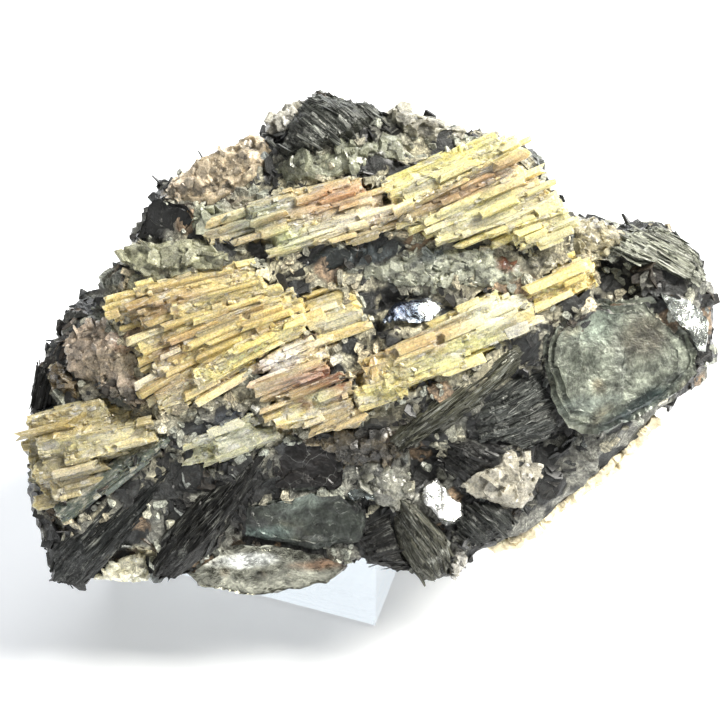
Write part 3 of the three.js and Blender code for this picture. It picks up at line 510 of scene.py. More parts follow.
# Small broken pieces on a surface
def spots(points, triangles, chosen, apart, seed):
    """Places strewn over the chosen triangles, one for each square as wide as apart, and how each faces."""
    a, b, c = (points[triangles[chosen, k]] for k in range(3))
    face = np.cross(b - a, c - a)
    area = np.linalg.norm(face, axis=1) / 2
    dice = np.random.default_rng(seed)
    picks = dice.choice(len(area), int(area.sum() / apart ** 2), p=area / area.sum())
    share = np.sort(dice.random((len(picks), 2)), axis=1)
    first, last = share[:, :1], 1 - share[:, 1:]
    places = first * a[picks] + last * b[picks] + (1 - first - last) * c[picks]
    return places, face[picks] / (2 * area[picks, None]), dice


def within_reach(node, angle, fan, along):
    """How far it is from places along a node's direction to the nearer of its two ends."""
    corners = stone_meshes[node][0]
    reach = directions(corners, angle, fan, corners[:, :2].mean(axis=0))[0][:, 0]
    return np.maximum(np.minimum(along - reach.min(), reach.max() - along), 0.3)


def unit(vectors):
    return vectors / np.maximum(np.linalg.norm(vectors, axis=1), 1e-9)[:, None]


def prisms(centres, along, side, length, wide, deep, corners, dice):
    """Closed prisms with uneven sections and ends: points, triangles and places in each one's frame."""
    count = len(centres)
    side = unit(side - along * np.einsum("ij,ij->i", along, side)[:, None])
    third = np.cross(along, side)
    turn = (np.arange(corners) + 0.6 * (dice.random((count, corners)) - 0.5)) * 2 * math.pi / corners
    reach = 0.7 + 0.5 * dice.random((count, corners))
    x, y = reach * np.cos(turn) * wide[:, None], reach * np.sin(turn) * deep[:, None]
    ends = length[:, None] * (0.5 + 0.22 * (dice.random((count, 2 * corners)) - 0.5))
    ends[:, corners:] *= -1
    own = np.stack([ends, np.hstack([x, x]), np.hstack([y, y])], axis=2)
    points = centres[:, None] + np.einsum("ijk,ikl->ijl", own, np.stack([along, side, third], axis=1))
    pattern = []
    for k in range(corners):
        after = (k + 1) % corners
        pattern += [[corners + k, corners + after, after], [corners + k, after, k]]
    for k in range(1, corners - 1):
        pattern += [[0, k, k + 1], [corners, corners + k + 1, corners + k]]
    triangles = (np.arange(count)[:, None, None] * 2 * corners + np.array(pattern)).reshape(-1, 3)
    return points.reshape(-1, 3), triangles, own.reshape(-1, 3)


def joined(*parts):
    """Parts given as (points, triangles, tint, gloss, grain) made one."""
    points, triangles, tint, gloss, grain = zip(*parts)
    first = np.cumsum([0] + [len(p) for p in points])
    triangles = np.vstack([t + start for t, start in zip(triangles, first)])
    return np.vstack(points), triangles, np.vstack(tint), np.concatenate(gloss), np.vstack(grain)


def inside_box(points, corners):
    """Which prisms, of so many corners each, stay inside the stone's own box."""
    row = to_row(points).reshape(-1, corners, 3)
    low, high = np.array(cad_box)
    return ((row > low) & (row < high)).all(axis=(1, 2))


def strewn(base, chosen, apart, kinds, colour, seed):
    """Small flakes or chips, half sunk in the surface of a part, in blocks that lean alike.

    kinds is (spread of the lean, range of the width, range of the thickness, corners).
    """
    lean_spread, width, thickness, corners = kinds
    places, outward, dice = spots(base[0], base[1], chosen, apart, seed)
    block, _, _ = cells(places, 3.2, seed + 1)
    lean = leaning(block, seed + 2) + 0.35 * (dice.random(places.shape) - 0.5)
    along = unit(outward + 2 * lean_spread * lean)
    side = unit(dice.random(places.shape) - 0.5)
    wide = width[0] + (width[1] - width[0]) * dice.random(len(places)) ** 2
    deep = wide * (0.5 + 0.5 * dice.random(len(places)))
    length = thickness[0] + (thickness[1] - thickness[0]) * dice.random(len(places))
    centres = places - 0.16 * wide[:, None] * outward
    points, triangles, own = prisms(centres, along, side, length, wide, deep, corners, dice)
    kept = inside_box(points, 2 * corners)
    triangles = triangles.reshape(len(places), -1, 3)[kept].reshape(-1, 3)
    used, same = np.unique(triangles, return_inverse=True)
    tint, gloss = colour(places, dice)
    every = np.repeat(np.arange(len(places)), 2 * corners)
    grain = own[:, [1, 2, 0]] + 10 * dice.random(len(places))[every, None]
    return points[used], same.reshape(-1, 3), tint[every][used], gloss[every][used], grain[used]


# Making a piece
SHARP_ANGLE = math.radians(28)


def finished(node, suffix, part, slot_name, material=None):
    """A piece of the stone from its arrays: it stands for its CAD node."""
    points, triangles, tint, gloss, grain = part
    mesh = bpy.data.meshes.new(f"{node}_{suffix}")
    mesh.vertices.add(len(points))
    mesh.vertices.foreach_set("co", to_row(points).astype(np.float32).ravel())
    mesh.loops.add(len(triangles) * 3)
    mesh.loops.foreach_set("vertex_index", triangles.astype(np.int32).ravel())
    mesh.polygons.add(len(triangles))
    mesh.polygons.foreach_set("loop_start", np.arange(0, len(triangles) * 3, 3, dtype=np.int32))
    mesh.update(calc_edges=True)
    colours = mesh.color_attributes.new("tint", "FLOAT_COLOR", "POINT")
    solid = np.concatenate([np.clip(tint, 0, 1), np.ones((len(points), 1))], axis=1)
    colours.data.foreach_set("color", solid.astype(np.float32).ravel())
    layer = mesh.attributes.new("gloss", "FLOAT", "POINT")
    layer.data.foreach_set("value", np.clip(gloss, 0, 1).astype(np.float32))
    layer = mesh.attributes.new("grain", "FLOAT_VECTOR", "POINT")
    layer.data.foreach_set("vector", grain.astype(np.float32).ravel())
    mesh.polygons.foreach_set("use_smooth", np.ones(len(triangles), bool))
    mesh.set_sharp_from_angle(angle=SHARP_ANGLE)
    mesh.materials.append(MATERIALS[material or slot_name])
    piece = bpy.data.objects.new(mesh.name, mesh)
    bpy.context.scene.collection.objects.link(piece)
    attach(piece, "root")
    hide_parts(node)


def directions(points, angle, fan=0.0, middle=(0, 0)):
    """Places along, across and out of a direction on the face, and that direction.
    It turns by fan degrees for each mm up from the middle."""
    du, dv = (points[:, :2] - middle).T
    turn = np.radians(angle + fan * dv)
    along = du * np.cos(turn) + dv * np.sin(turn)
    across = dv * np.cos(turn) - du * np.sin(turn)
    axis = np.stack([np.cos(turn), np.sin(turn), np.zeros_like(turn)], axis=1)
    return np.stack([along, across, points[:, 2]], axis=1), axis


# Node materials
class Nodes:
    """A material's node tree, with short ways to add and join nodes."""

    def __init__(self, name):
        self.material = bpy.data.materials.new(name)
        self.material.use_nodes = True
        self.tree = self.material.node_tree
        self.surface = self.tree.nodes["Principled BSDF"]

    def add(self, kind, links=(), **settings):
        node = self.tree.nodes.new(kind)
        for key, value in settings.items():
            setattr(node, key, value)
        for socket, source in dict(links).items():
            self.join(node.inputs[socket], source)
        return node

    def join(self, socket, source):
        if isinstance(source, bpy.types.NodeSocket):
            self.tree.links.new(source, socket)
        else:
            socket.default_value = source

    def attribute(self, name, output="Color"):
        return self.add("ShaderNodeAttribute", attribute_name=name).outputs[output]

    def scaled(self, vector, scale):
        return self.add("ShaderNodeMapping", {"Vector": vector, "Scale": scale}).outputs["Vector"]

    def noise(self, vector, scale, detail=4.0, roughness=0.6):
        links = {"Vector": vector, "Scale": scale, "Detail": detail, "Roughness": roughness}
        return self.add("ShaderNodeTexNoise", links).outputs["Fac"]

    def spread(self, value, low, high, to_low, to_high):
        links = {"Value": value, "From Min": low, "From Max": high, "To Min": to_low, "To Max": to_high}
        return self.add("ShaderNodeMapRange", links).outputs["Result"]

    def times(self, colour, factor):
        mix = self.add("ShaderNodeMix", data_type="RGBA", blend_type="MULTIPLY")
        mix.inputs[0].default_value = 1.0
        self.join(mix.inputs[6], colour)
        self.join(mix.inputs[7], factor)
        return mix.outputs[2]

    def mixed(self, colour, other, share):
        mix = self.add("ShaderNodeMix", data_type="RGBA")
        self.join(mix.inputs[0], share)
        self.join(mix.inputs[6], colour)
        self.join(mix.inputs[7], other)
        return mix.outputs[2]

    def math(self, operation, a, b=0.0):
        node = self.add("ShaderNodeMath", operation=operation)
        self.join(node.inputs[0], a)
        self.join(node.inputs[1], b)
        return node.outputs[0]

    def bump(self, height, distance, strength=1.0):
        links = {"Height": height, "Distance": distance * MM, "Strength": strength}
        return self.add("ShaderNodeBump", links).outputs["Normal"]

    def set(self, **values):
        for key, value in values.items():
            self.join(self.surface.inputs[key.replace("_", " ")], value)
        return self.material


def topaz_material(name):
    """Cloudy crystal with fine striations along it, and sugary where the gloss says that it is broken."""
    n = Nodes(name)
    grain = n.attribute("grain", "Vector")
    broken = n.attribute("gloss", "Fac")
    streaks = n.noise(n.scaled(grain, (0.3, 4.2, 4.2)), 1.0, 4.0)
    sugar = n.noise(grain, 3.6, 4.0, 0.75)
    crystals = n.add("ShaderNodeTexVoronoi", {"Vector": grain, "Scale": 2.2}).outputs["Color"]
    sparkle = n.add("ShaderNodeSeparateColor", {"Color": crystals}).outputs["Red"]
    frost = n.noise(n.scaled(grain, (0.5, 1.2, 1.2)), 1.6, 5.0, 0.7)
    colour = n.times(n.attribute("tint"), n.spread(streaks, 0.35, 0.65, 0.84, 1.12))
    colour = n.times(colour, n.spread(sugar, 0.36, 0.64, 0.66, 1.27))
    colour = n.times(colour, n.spread(sparkle, 0.0, 1.0, 0.84, 1.14))
    colour = n.mixed(colour, (0.86, 0.82, 0.72, 1), n.spread(frost, 0.52, 0.7, 0.0, 0.55))
    height = n.math("ADD", n.math("MULTIPLY", streaks, 0.6), n.math("MULTIPLY", sugar, 1.0))
    height = n.math("ADD", height, n.math("MULTIPLY", sparkle, n.spread(broken, 0.0, 1.0, 0.15, 0.6)))
    n.set(Base_Color=colour, Subsurface_Weight=0.6, Subsurface_Scale=1.2 * MM, IOR=1.6)
    n.set(Subsurface_Radius=(1.0, 0.85, 0.5), Coat_Weight=0.3, Coat_Roughness=0.12)
    return n.set(Roughness=n.spread(sugar, 0.3, 0.7, 0.2, 0.5), Normal=n.bump(height, 0.13, 1.0))


def mica_material(name, metal, gloss_low, gloss_high, relief):
    """Sheets seen on their cleavage face: mottled, blistered and crossed by fine pale cracks."""
    n = Nodes(name)
    grain = n.attribute("grain", "Vector")
    gloss = n.attribute("gloss", "Fac")
    clouds = n.noise(grain, 0.5, 8.0, 0.72)
    scales = n.noise(grain, 1.7, 5.0, 0.7)
    scratches = n.noise(n.scaled(grain, (0.12, 3.6, 0.5)), 1.0, 5.0, 0.65)
    bend = n.scaled(n.add("ShaderNodeTexNoise", {"Vector": grain, "Scale": 0.5}).outputs["Color"], (2, 2, 2))
    bent = n.add("ShaderNodeVectorMath", {0: grain, 1: bend}, operation="ADD").outputs[0]
    cracks = n.add("ShaderNodeTexVoronoi", {"Vector": bent, "Scale": 0.24}, feature="DISTANCE_TO_EDGE")
    colour = n.times(n.attribute("tint"), n.spread(clouds, 0.36, 0.64, 0.42, 1.9))
    colour = n.times(colour, n.spread(scales, 0.35, 0.65, 0.62, 1.4))
    colour = n.times(colour, n.spread(scratches, 0.3, 0.7, 0.85, 1.15))
    crack = n.spread(cracks.outputs["Distance"], 0.0, 0.012, 0.5, 0.0)
    crack = n.math("MULTIPLY", crack, n.spread(clouds, 0.45, 0.6, 0.0, 1.0))
    colour = n.mixed(colour, (0.5, 0.52, 0.48, 1), crack)
    links = {"Vector": bent, "Scale": 0.9, "Detail": 2.0}
    blisters = n.add("ShaderNodeTexVoronoi", links).outputs["Distance"]
    colour = n.times(colour, n.spread(blisters, 0.1, 0.7, 1.25, 0.7))
    height = n.math("ADD", n.math("MULTIPLY", clouds, 2.0), n.math("MULTIPLY", scales, 1.6))
    height = n.math("SUBTRACT", height, blisters)
    height = n.math("ADD", height, n.math("MULTIPLY", scratches, 0.3))
    n.set(Base_Color=colour, Metallic=metal, IOR=1.6, Normal=n.bump(height, relief))
    n.set(Roughness=n.spread(gloss, 0.0, 1.0, gloss_low, gloss_high), Coat_Weight=0.35, Coat_Roughness=0.2)
    return n.material


def fibre_material(name):
    """Mica seen on the edges of its sheets: silky dark lines along the grain, with silver lines painted in as
    sheen where they shine.
    """
    n = Nodes(name)
    grain = n.attribute("grain", "Vector")
    lines = n.noise(n.scaled(grain, (0.22, 6.0, 6.0)), 1.0, 5.0, 0.7)
    shine = n.noise(n.scaled(grain, (0.3, 1.1, 1.1)), 1.0, 4.0, 0.6)
    colour = n.times(n.attribute("tint"), n.spread(lines, 0.38, 0.62, 0.2, 1.8))
    # Painted sheen: pale silver is mixed into the colour where the lines and the shine meet.
    silver = n.math("MULTIPLY", n.spread(lines, 0.5, 0.62, 0.0, 0.8), n.spread(shine, 0.44, 0.6, 0.0, 1.0))
    silver = n.math("MULTIPLY", silver, n.attribute("gloss", "Fac"))
    colour = n.mixed(colour, (0.42, 0.43, 0.4, 1), silver)
    n.set(Base_Color=colour, Metallic=0.35, IOR=1.5, Roughness=n.spread(shine, 0.35, 0.65, 0.5, 0.24))
    return n.set(Normal=n.bump(lines, 0.16), Coat_Weight=0.1, Coat_Roughness=0.2)


def quartz_material(name):
    n = Nodes(name)
    grain = n.attribute("grain", "Vector")
    cloud = n.noise(grain, 0.7, 7.0, 0.68)
    grit = n.noise(grain, 3.6, 4.0, 0.72)
    soot = n.noise(grain, 0.9, 8.0, 0.75)
    colour = n.times(n.attribute("tint"), n.spread(cloud, 0.36, 0.64, 0.55, 1.45))
    colour = n.times(colour, n.spread(grit, 0.35, 0.65, 0.7, 1.25))
    colour = n.mixed(colour, (0.025, 0.028, 0.028, 1), n.spread(soot, 0.55, 0.66, 0.0, 0.85))
    n.set(Base_Color=colour, Subsurface_Weight=0.45, Subsurface_Scale=1.4 * MM, IOR=1.54)
    n.set(Subsurface_Radius=(1.0, 0.95, 0.85), Roughness=n.spread(grit, 0.3, 0.7, 0.12, 0.45))
    return n.set(Normal=n.bump(n.math("ADD", grit, cloud), 0.14), Coat_Weight=0.4, Coat_Roughness=0.1)


def earth_material(name):
    n = Nodes(name)
    grain = n.attribute("grain", "Vector")
    cloud = n.noise(grain, 0.9, 6.0, 0.65)
    grit = n.noise(grain, 4.0, 5.0, 0.7)
    colour = n.times(n.attribute("tint"), n.spread(cloud, 0.3, 0.7, 0.8, 1.15))
    colour = n.times(colour, n.spread(grit, 0.35, 0.65, 0.82, 1.15))
    return n.set(Base_Color=colour, Roughness=0.85, Normal=n.bump(n.math("ADD", grit, cloud), 0.12))


def rock_material(name):
    """The matrix, where the gloss says how much each place is mica."""
    n = Nodes(name)
    grain = n.attribute("grain", "Vector")
    gloss = n.attribute("gloss", "Fac")
    sheets = n.noise(n.scaled(grain, (0.2, 3.2, 0.6)), 1.0, 5.0, 0.65)
    grit = n.noise(grain, 3.2, 5.0, 0.7)
    cloud = n.noise(grain, 0.8, 8.0, 0.72)
    colour = n.times(n.attribute("tint"), n.spread(grit, 0.35, 0.65, 0.5, 1.5))
    colour = n.times(colour, n.spread(sheets, 0.35, 0.65, 0.6, 1.5))
    colour = n.times(colour, n.spread(cloud, 0.36, 0.64, 0.45, 1.9))
    n.set(Base_Color=colour, IOR=1.56, Normal=n.bump(n.math("ADD", grit, n.math("ADD", sheets, cloud)), 0.16))
    n.set(Metallic=n.spread(gloss, 0.4, 0.9, 0.0, 0.35), Roughness=n.spread(gloss, 0.2, 1.0, 0.6, 0.26))
    return n.set(Coat_Weight=0.25, Coat_Roughness=0.2)


def clear_material():
    """Clear cast block, faintly green at its edges."""
    n = Nodes("clear_block")
    return n.set(Base_Color=(0.95, 0.98, 0.965, 1), Transmission_Weight=1.0, IOR=1.49, Roughness=0.02)


MATERIALS = {
    "topaz": topaz_material("topaz"),
    "topaz_grey_green": topaz_material("topaz_grey_green"),
    "mica": mica_material("mica", 0.4, 0.42, 0.22, 0.1),
    "mica_bright": mica_material("mica_bright", 0.85, 0.3, 0.12, 0.05),
    "mica_fibres": fibre_material("mica_fibres"),
    "quartz": quartz_material("quartz"),
    "rind": earth_material("rind"),
    "matrix": rock_material("matrix"),
}


# Topaz columns
TOPAZ = {
    # node: angle of the growth direction, its fan, base colour, how blocky its broken surface is
    "topaz_grey_column": (37.6, 0, (0.30, 0.34, 0.31), 0.3),
    "topaz_columns_top_right": (24, 0.2, (0.82, 0.77, 0.53), 0.6),
    "topaz_columns_upper_left": (17.5, 0, (0.70, 0.63, 0.45), 0.55),
    "topaz_columns_left": (21, -1.0, (0.80, 0.72, 0.46), 0.9),
    "topaz_columns_middle": (22, 0, (0.69, 0.61, 0.44), 0.7),
    "topaz_columns_inner_step": (20, 0, (0.80, 0.72, 0.46), 0.7),
    "topaz_columns_lower_right": (22, 0.3, (0.78, 0.71, 0.46), 0.35),
    "topaz_stub_right": (24, 0, (0.86, 0.76, 0.46), 0.45),
    "topaz_columns_low_left": (13, 0, (0.62, 0.57, 0.40), 0.45),
    "topaz_chips_below": (21, 0, (0.70, 0.69, 0.54), 0.6),
    "topaz_columns_back": (166, 0, (0.72, 0.62, 0.38), 0.7),
}


def fibres(grain, size, length, seed):
    """The thin prisms that a bundle is made of, cut across here and there: a number from 0 to 1 for each of
    their chips and each prism, and how near a place is to the prism's border, in mm."""
    number, _, border = cells(grain, (1, size, size * 0.8), seed, flat=True)
    chip = number * 613 + np.floor(grain[:, 0] / length + 9 * shade(number, seed + 1)).astype(np.int64) * 7919
    return shade(chip, seed + 2), shade(number, seed + 4), border * size


def topaz_piece(node, seed):
    angle, fan, base, blocky = TOPAZ[node]
    middle = stone_meshes[node][0][:, :2].mean(axis=0)
    level = bundle_fill(node)

    def fill(points):
        chip, _, _ = fibres(directions(points, angle, fan, middle)[0], 1.3, 6.0, seed + 80)
        return height_at(level, points) - 0.12 - (0.2 + 0.6 * blocky) * chip ** 2

    points, triangles, free = divided(node, 0.42, MEDIUM, 0.8, fill)
    normals = corner_normals(points, triangles)
    points = warped(points, 0.2)
    grain, axis = directions(points, angle, fan, middle)
    ending = np.clip((np.abs(np.einsum("ij,ij->i", normals, axis)) - 0.6) / 0.3, 0, 1)
    wavy = grain + 0.14 * drift(points, 1.7, seed)
    height, tone, groove = 0.0, 0.0, 0.0
    layers = ((1.5, 9.0, 0.12 + 0.16 * blocky, 3), (0.62, 4.5, 0.07 + 0.07 * blocky, 5))
    for size, length, depth, part in layers:
        chip, prism, border = fibres(wavy, size, length, seed + 10 * part)
        cut = np.clip(1 - border / 0.12, 0, 1)
        height = height - depth * chip * (1 - ending) - 0.35 * depth * cut
        height = height - ending * 2.4 * depth * (prism - 0.3)
        tone = tone + (chip - 0.5)
        groove = np.maximum(groove, cut * chip)
    rough = np.clip(2.6 * noise(grain, (5, 2.6, 2.6), seed + 25, 2) + 0.25, 0, 1)
    rough = np.maximum(rough, ending)
    sugar, crumb = facets(points, 0.85, seed + 60, 0.4, 0.32)
    height = height + rough * sugar + 0.04 * noise(points, 0.8, seed + 9, 2) + 0.12
    points = points + normals * (free * height)[:, None]
    tint = topaz_colour(base, points, grain, seed)
    tint = tint * (1 + 0.2 * tone)[:, None] * (1 + rough * (0.6 * shade(crumb, seed + 61) - 0.25))[:, None]
    # Painted shade: the fibres are browned and darkened in the grooves along their sunk cut borders, where
    # shade falls between them.
    painted_groove_shade = np.clip(0.9 * groove - 0.5 + 0.9 * noise(points, 2.6, seed + 22, 3), 0, 1)
    tint = blended(tint, tint * [0.86, 0.70, 0.50], 0.6 * painted_groove_shade)
    main = (points, triangles, tint, rough, grain)
    chosen = (free[triangles] == 1).all(axis=1)
    slot_name = "topaz_grey_green" if node == "topaz_grey_column" else "topaz"
    columns = topaz_splinters(node, main, chosen, seed, COLUMNS)
    crumbs = topaz_splinters(node, main, chosen, seed + 1, CRUMBS)
    finished(node, "crystals", joined(main, columns, crumbs), slot_name)


def topaz_colour(base, points, grain, seed):
    """The bundle's colour with its patches, paler cloudy places and iron stains."""
    tint = patched(np.tile(linear(base), (len(points), 1)), points)
    tint = tint * (1 + 0.22 * noise(grain, (5, 1.1, 1.1), seed + 21, 3))[:, None]
    tint = 1.25 * blended(tint, tint.mean(axis=1, keepdims=True), np.full(len(points), 0.11))
    pale = np.clip(3 * noise(grain, (2.4, 1.1, 1.1), seed + 23, 3) - 0.5, 0, 1)
    tint = blended(tint, linear((0.97, 0.94, 0.87)), 0.55 * pale)
    return stained(tint, points)


# The two sizes of broken prisms: how far apart, ranges of half width, half depth and length, and how pale.
COLUMNS = (2.7, (0.5, 1.3), (0.5, 0.8), (2.6, 9.0), 0.0)
CRUMBS = (1.9, (0.22, 0.5), (0.25, 0.45), (0.4, 1.5), 0.35)


def topaz_splinters(node, main, chosen, seed, kind):
    """Single prisms that stand a little above the bundle's broken surface, all along its axis."""
    angle, fan, base, blocky = TOPAZ[node]
    apart, widths, depths, lengths, paleness = kind
    places, outward, dice = spots(main[0], main[1], chosen, apart / blocky ** 0.4, seed + 70)
    grain, axis = directions(places, angle, fan, stone_meshes[node][0][:, :2].mean(axis=0))
    flat = np.abs(np.einsum("ij,ij->i", outward, axis)) < 0.6
    places, outward, grain, axis = places[flat], outward[flat], grain[flat], axis[flat]
    count = len(places)
    wide = widths[0] + (widths[1] - widths[0]) * dice.random(count)
    deep = depths[0] + (depths[1] - depths[0]) * dice.random(count)
    length = lengths[0] + (lengths[1] - lengths[0]) * dice.random(count) ** 1.5
    length = np.minimum(length, 2 * within_reach(node, angle, fan, grain[:, 0]))
    centres = places - outward * (0.86 * deep + 0.08 - (0.1 + 0.2 * blocky) * dice.random(count))[:, None]
    axis = unit(axis + 0.06 * (dice.random(axis.shape) - 0.5))
    points, triangles, own = prisms(centres, axis, np.cross(axis, outward), length, wide, deep, 6, dice)
    every = np.repeat(np.arange(count), 12)
    tint = topaz_colour(base, points, np.repeat(grain, 12, axis=0), seed)
    tint = tint * (0.86 + 0.3 * dice.random(count))[every, None]
    tint = blended(tint, linear((0.94, 0.91, 0.84)), paleness * dice.random(count)[every])
    return points, triangles, tint, 0.8 * dice.random(count)[every], np.repeat(grain, 12, axis=0) + own


# Mica
BOOKS = {
    # node: angle of the scratches, base colour, whether it mirrors the light
    "mica_book_large": (20, (0.50, 0.52, 0.47), False),
    # Painted reflection: this sheet's pale base colour paints in the light that it reflects.
    "mica_sheet_bright_right": (-50, (0.66, 0.68, 0.66), True),
    "mica_book_dark_red": (70, (0.075, 0.06, 0.057), False),
    "mica_book_bottom": (10, (0.24, 0.26, 0.24), False),
    "mica_book_keel": (4, (0.52, 0.52, 0.47), True),
    # Painted reflection: this sheet's near-white base colour paints in the light that it reflects.
    "mica_sheet_mirror": (-50, (0.92, 0.93, 0.92), True),
    "mica_scale_bright": (-60, (0.55, 0.58, 0.58), True),
    "mica_blade_upper": (30, (0.17, 0.19, 0.19), False),
    "mica_eye": (15, (0.33, 0.36, 0.40), True),
    "mica_book_left_shoulder": (60, (0.085, 0.09, 0.09), False),
    "mica_flake_left": (0, (0.24, 0.25, 0.24), False),
    "mica_book_top_corner": (-60, (0.26, 0.27, 0.25), False),
    "mica_book_back_left": (30, (0.20, 0.21, 0.20), False),
    "mica_book_back_right": (-20, (0.17, 0.18, 0.17), False),
}
SPLINTERS = {
    # node: angle of the sheets on the face, its fan, base colour, how strong the painted silver sheen and the
    # gloss of its lines are
    "mica_crown": (-38, 1.5, (0.20, 0.21, 0.19), 1.1),
    "mica_sash": (38, 0, (0.26, 0.26, 0.21), 1.0),
    "mica_flank": (28, 1.5, (0.22, 0.23, 0.22), 1.0),
    "mica_fang": (50, 0, (0.035, 0.034, 0.032), 0.6),
    "mica_hem": (46, 0, (0.11, 0.12, 0.12), 0.6),
    "mica_tongue": (-55, 1, (0.26, 0.26, 0.22), 0.9),
    "mica_wedge_bottom": (20, 2, (0.075, 0.075, 0.07), 0.4),
    "mica_knot": (-30, 3, (0.09, 0.09, 0.09), 0.3),
    "mica_shard_lower": (-40, 2, (0.12, 0.13, 0.12), 0.5),
    "mica_book_top_right": (-28, 1, (0.42, 0.43, 0.38), 1.2),
    "mica_cheek_left": (75, 0, (0.08, 0.08, 0.08), 0.3),
}


def book_normal(points, triangles):
    """Which way the cleavage face of a book looks: the mean over its steepest outward faces."""
    face = face_ways(points, triangles)
    side = 1 if points[:, 2].mean() > BACK_LEVEL else -1
    total = face[side * face[:, 2] > 0.75 * np.linalg.norm(face, axis=1)].sum(axis=0)
    return total / np.linalg.norm(total)


def book_piece(node, seed):
    angle, base, bright = BOOKS[node]
    outward = book_normal(*stone_meshes[node])
    points, triangles, free = divided(node)
    normals = corner_normals(points, triangles)
    grain, _ = directions(points, angle)
    level = points @ outward
    points = warped(points, 1)
    lying = np.clip(np.abs(normals @ outward) * 2 - 0.9, 0, 1)
    height, tone = 0.0, 0.0
    for size, step in ((5.5, 0.22), (2.2, 0.12)):
        place = points + 0.5 * noise(points, 1.6, seed + 4, 2)[:, None]
        number, _, _ = cells(place - np.outer(place @ outward, outward), size, seed + int(size))
        value = shade(number, seed + 5)
        height = height - step * value
        tone = tone + (value - 0.5)
    dents = noise(points, 1.5, seed + 6, 3)
    sheet = np.floor(level / 0.24 + 0.8 * noise(points, 5, seed + 7, 2)).astype(np.int64)
    torn = noise(points + 40 * shade(sheet, seed)[:, None], 2.4, seed + 8, 2)
    pages = 0.5 * (shade(sheet, seed + 8) - 0.5) + 0.4 * torn
    height = lying * (height + 0.07 * dents) + (1 - lying) * pages + 0.05
    points = points + normals * (free * height)[:, None]
    tint = np.tile(linear(base), (len(points), 1))
    tint = tint * (1 + 0.5 * tone + 0.5 * noise(points, 2.8, seed + 9, 4))[:, None]
    tint = tint * (1 + (1 - lying) * (1.6 * shade(sheet, seed + 10) - 0.8))[:, None]
    brown = np.clip(2.5 * noise(points, 4, seed + 11, 3) - 0.7, 0, 1)
    tint = blended(tint, tint * [1.25, 0.95, 0.7], 0.6 * brown)
    tint = patched(tint, points, MICA_PATCHES)
    gloss = 0.6 + 0.3 * noise(points, 3, seed + 12, 3)
    slot_name = "mica_bright" if bright else "mica"
    finished(node, "sheets", (points, triangles, tint, gloss, grain), slot_name)


def splinter_piece(node, seed):
    angle, fan, base, sheen_and_gloss = SPLINTERS[node]
    points, triangles, free = divided(node)
    normals = corner_normals(points, triangles)
    points = warped(points, 0.7)
    grain, _ = directions(points, angle, fan, stone_meshes[node][0][:, :2].mean(axis=0))
    bent = grain[:, 1] + 0.7 * noise(grain, (7, 3, 5), seed, 2)
    height, tone = 0.0, 0.0
    for pitch, depth, run in ((1.25, 0.55, 9.0), (0.42, 0.26, 5.0)):
        place = bent / pitch
        sheet = np.floor(place).astype(np.int64)
        part = place - sheet
        along = grain[:, 0] / run + 17 * shade(sheet, seed + 1)
        ridge = np.stack([along, sheet * 3.7, np.zeros(len(part))], axis=1)
        crest = 0.5 + 0.5 * noise(ridge, 1.0, seed + 2, 2)
        height = height + depth * (crest + 0.35 * (1 - np.abs(2 * part - 1)) - 0.75)
        tone = tone + crest - 0.5
    height = height + 0.05 * noise(points, 0.7, seed + 3, 2)
    points = points + normals * (free * height)[:, None]
    tint = np.tile(linear(base), (len(points), 1)) * (1 + 1.1 * np.clip(tone, -0.7, 1))[:, None]
    # Painted sheen: silver lines are mixed into the colour along the sheets, standing in for their shine.
    silver = np.clip(4 * noise(grain, (3.5, 0.45, 2), seed + 4, 3) - 1.1, 0, 1)
    tint = blended(tint, linear((0.62, 0.63, 0.60)), 0.7 * sheen_and_gloss * silver)
    gloss = sheen_and_gloss * (0.7 + 0.4 * noise(grain, (4, 0.6, 2), seed + 5, 2))
    main = (points, triangles, tint, gloss, grain)
    finished(node, "sheets", joined(main, mica_blades(node, main, free, seed)), "mica", "mica_fibres")


def mica_blades(node, main, free, seed):
    """Edges of single sheets: thin blades along the splinters, each turned its own way."""
    angle, fan, base, sheen_and_gloss = SPLINTERS[node]
    chosen = (free[main[1]] == 1).all(axis=1)
    places, outward, dice = spots(main[0], main[1], chosen, 1.5, seed + 80)
    grain, axis = directions(places, angle, fan, stone_meshes[node][0][:, :2].mean(axis=0))
    count = len(places)
    axis = unit(axis - 0.7 * outward * np.einsum("ij,ij->i", axis, outward)[:, None])
    axis = unit(axis + 0.08 * (dice.random(axis.shape) - 0.5))
    turned = unit(np.cross(axis, outward) + outward * (1.6 * (dice.random(count) - 0.5))[:, None])
    length = 1.5 + 3.5 * dice.random(count) ** 1.6
    length = np.minimum(length, 2 * within_reach(node, angle, fan, grain[:, 0]))
    wide = 0.12 + 0.24 * dice.random(count) ** 1.5
    deep = 0.04 + 0.06 * dice.random(count)
    points, triangles, own = prisms(places, axis, turned, length, wide, deep, 4, dice)
    every = np.repeat(np.arange(count), 8)
    value = dice.random(count)
    tint = linear(base) * (0.45 + 1.2 * value ** 2)[every, None]
    return points, triangles, tint, sheen_and_gloss * (0.5 + 0.5 * value[every]), own + 9 * value[every, None]


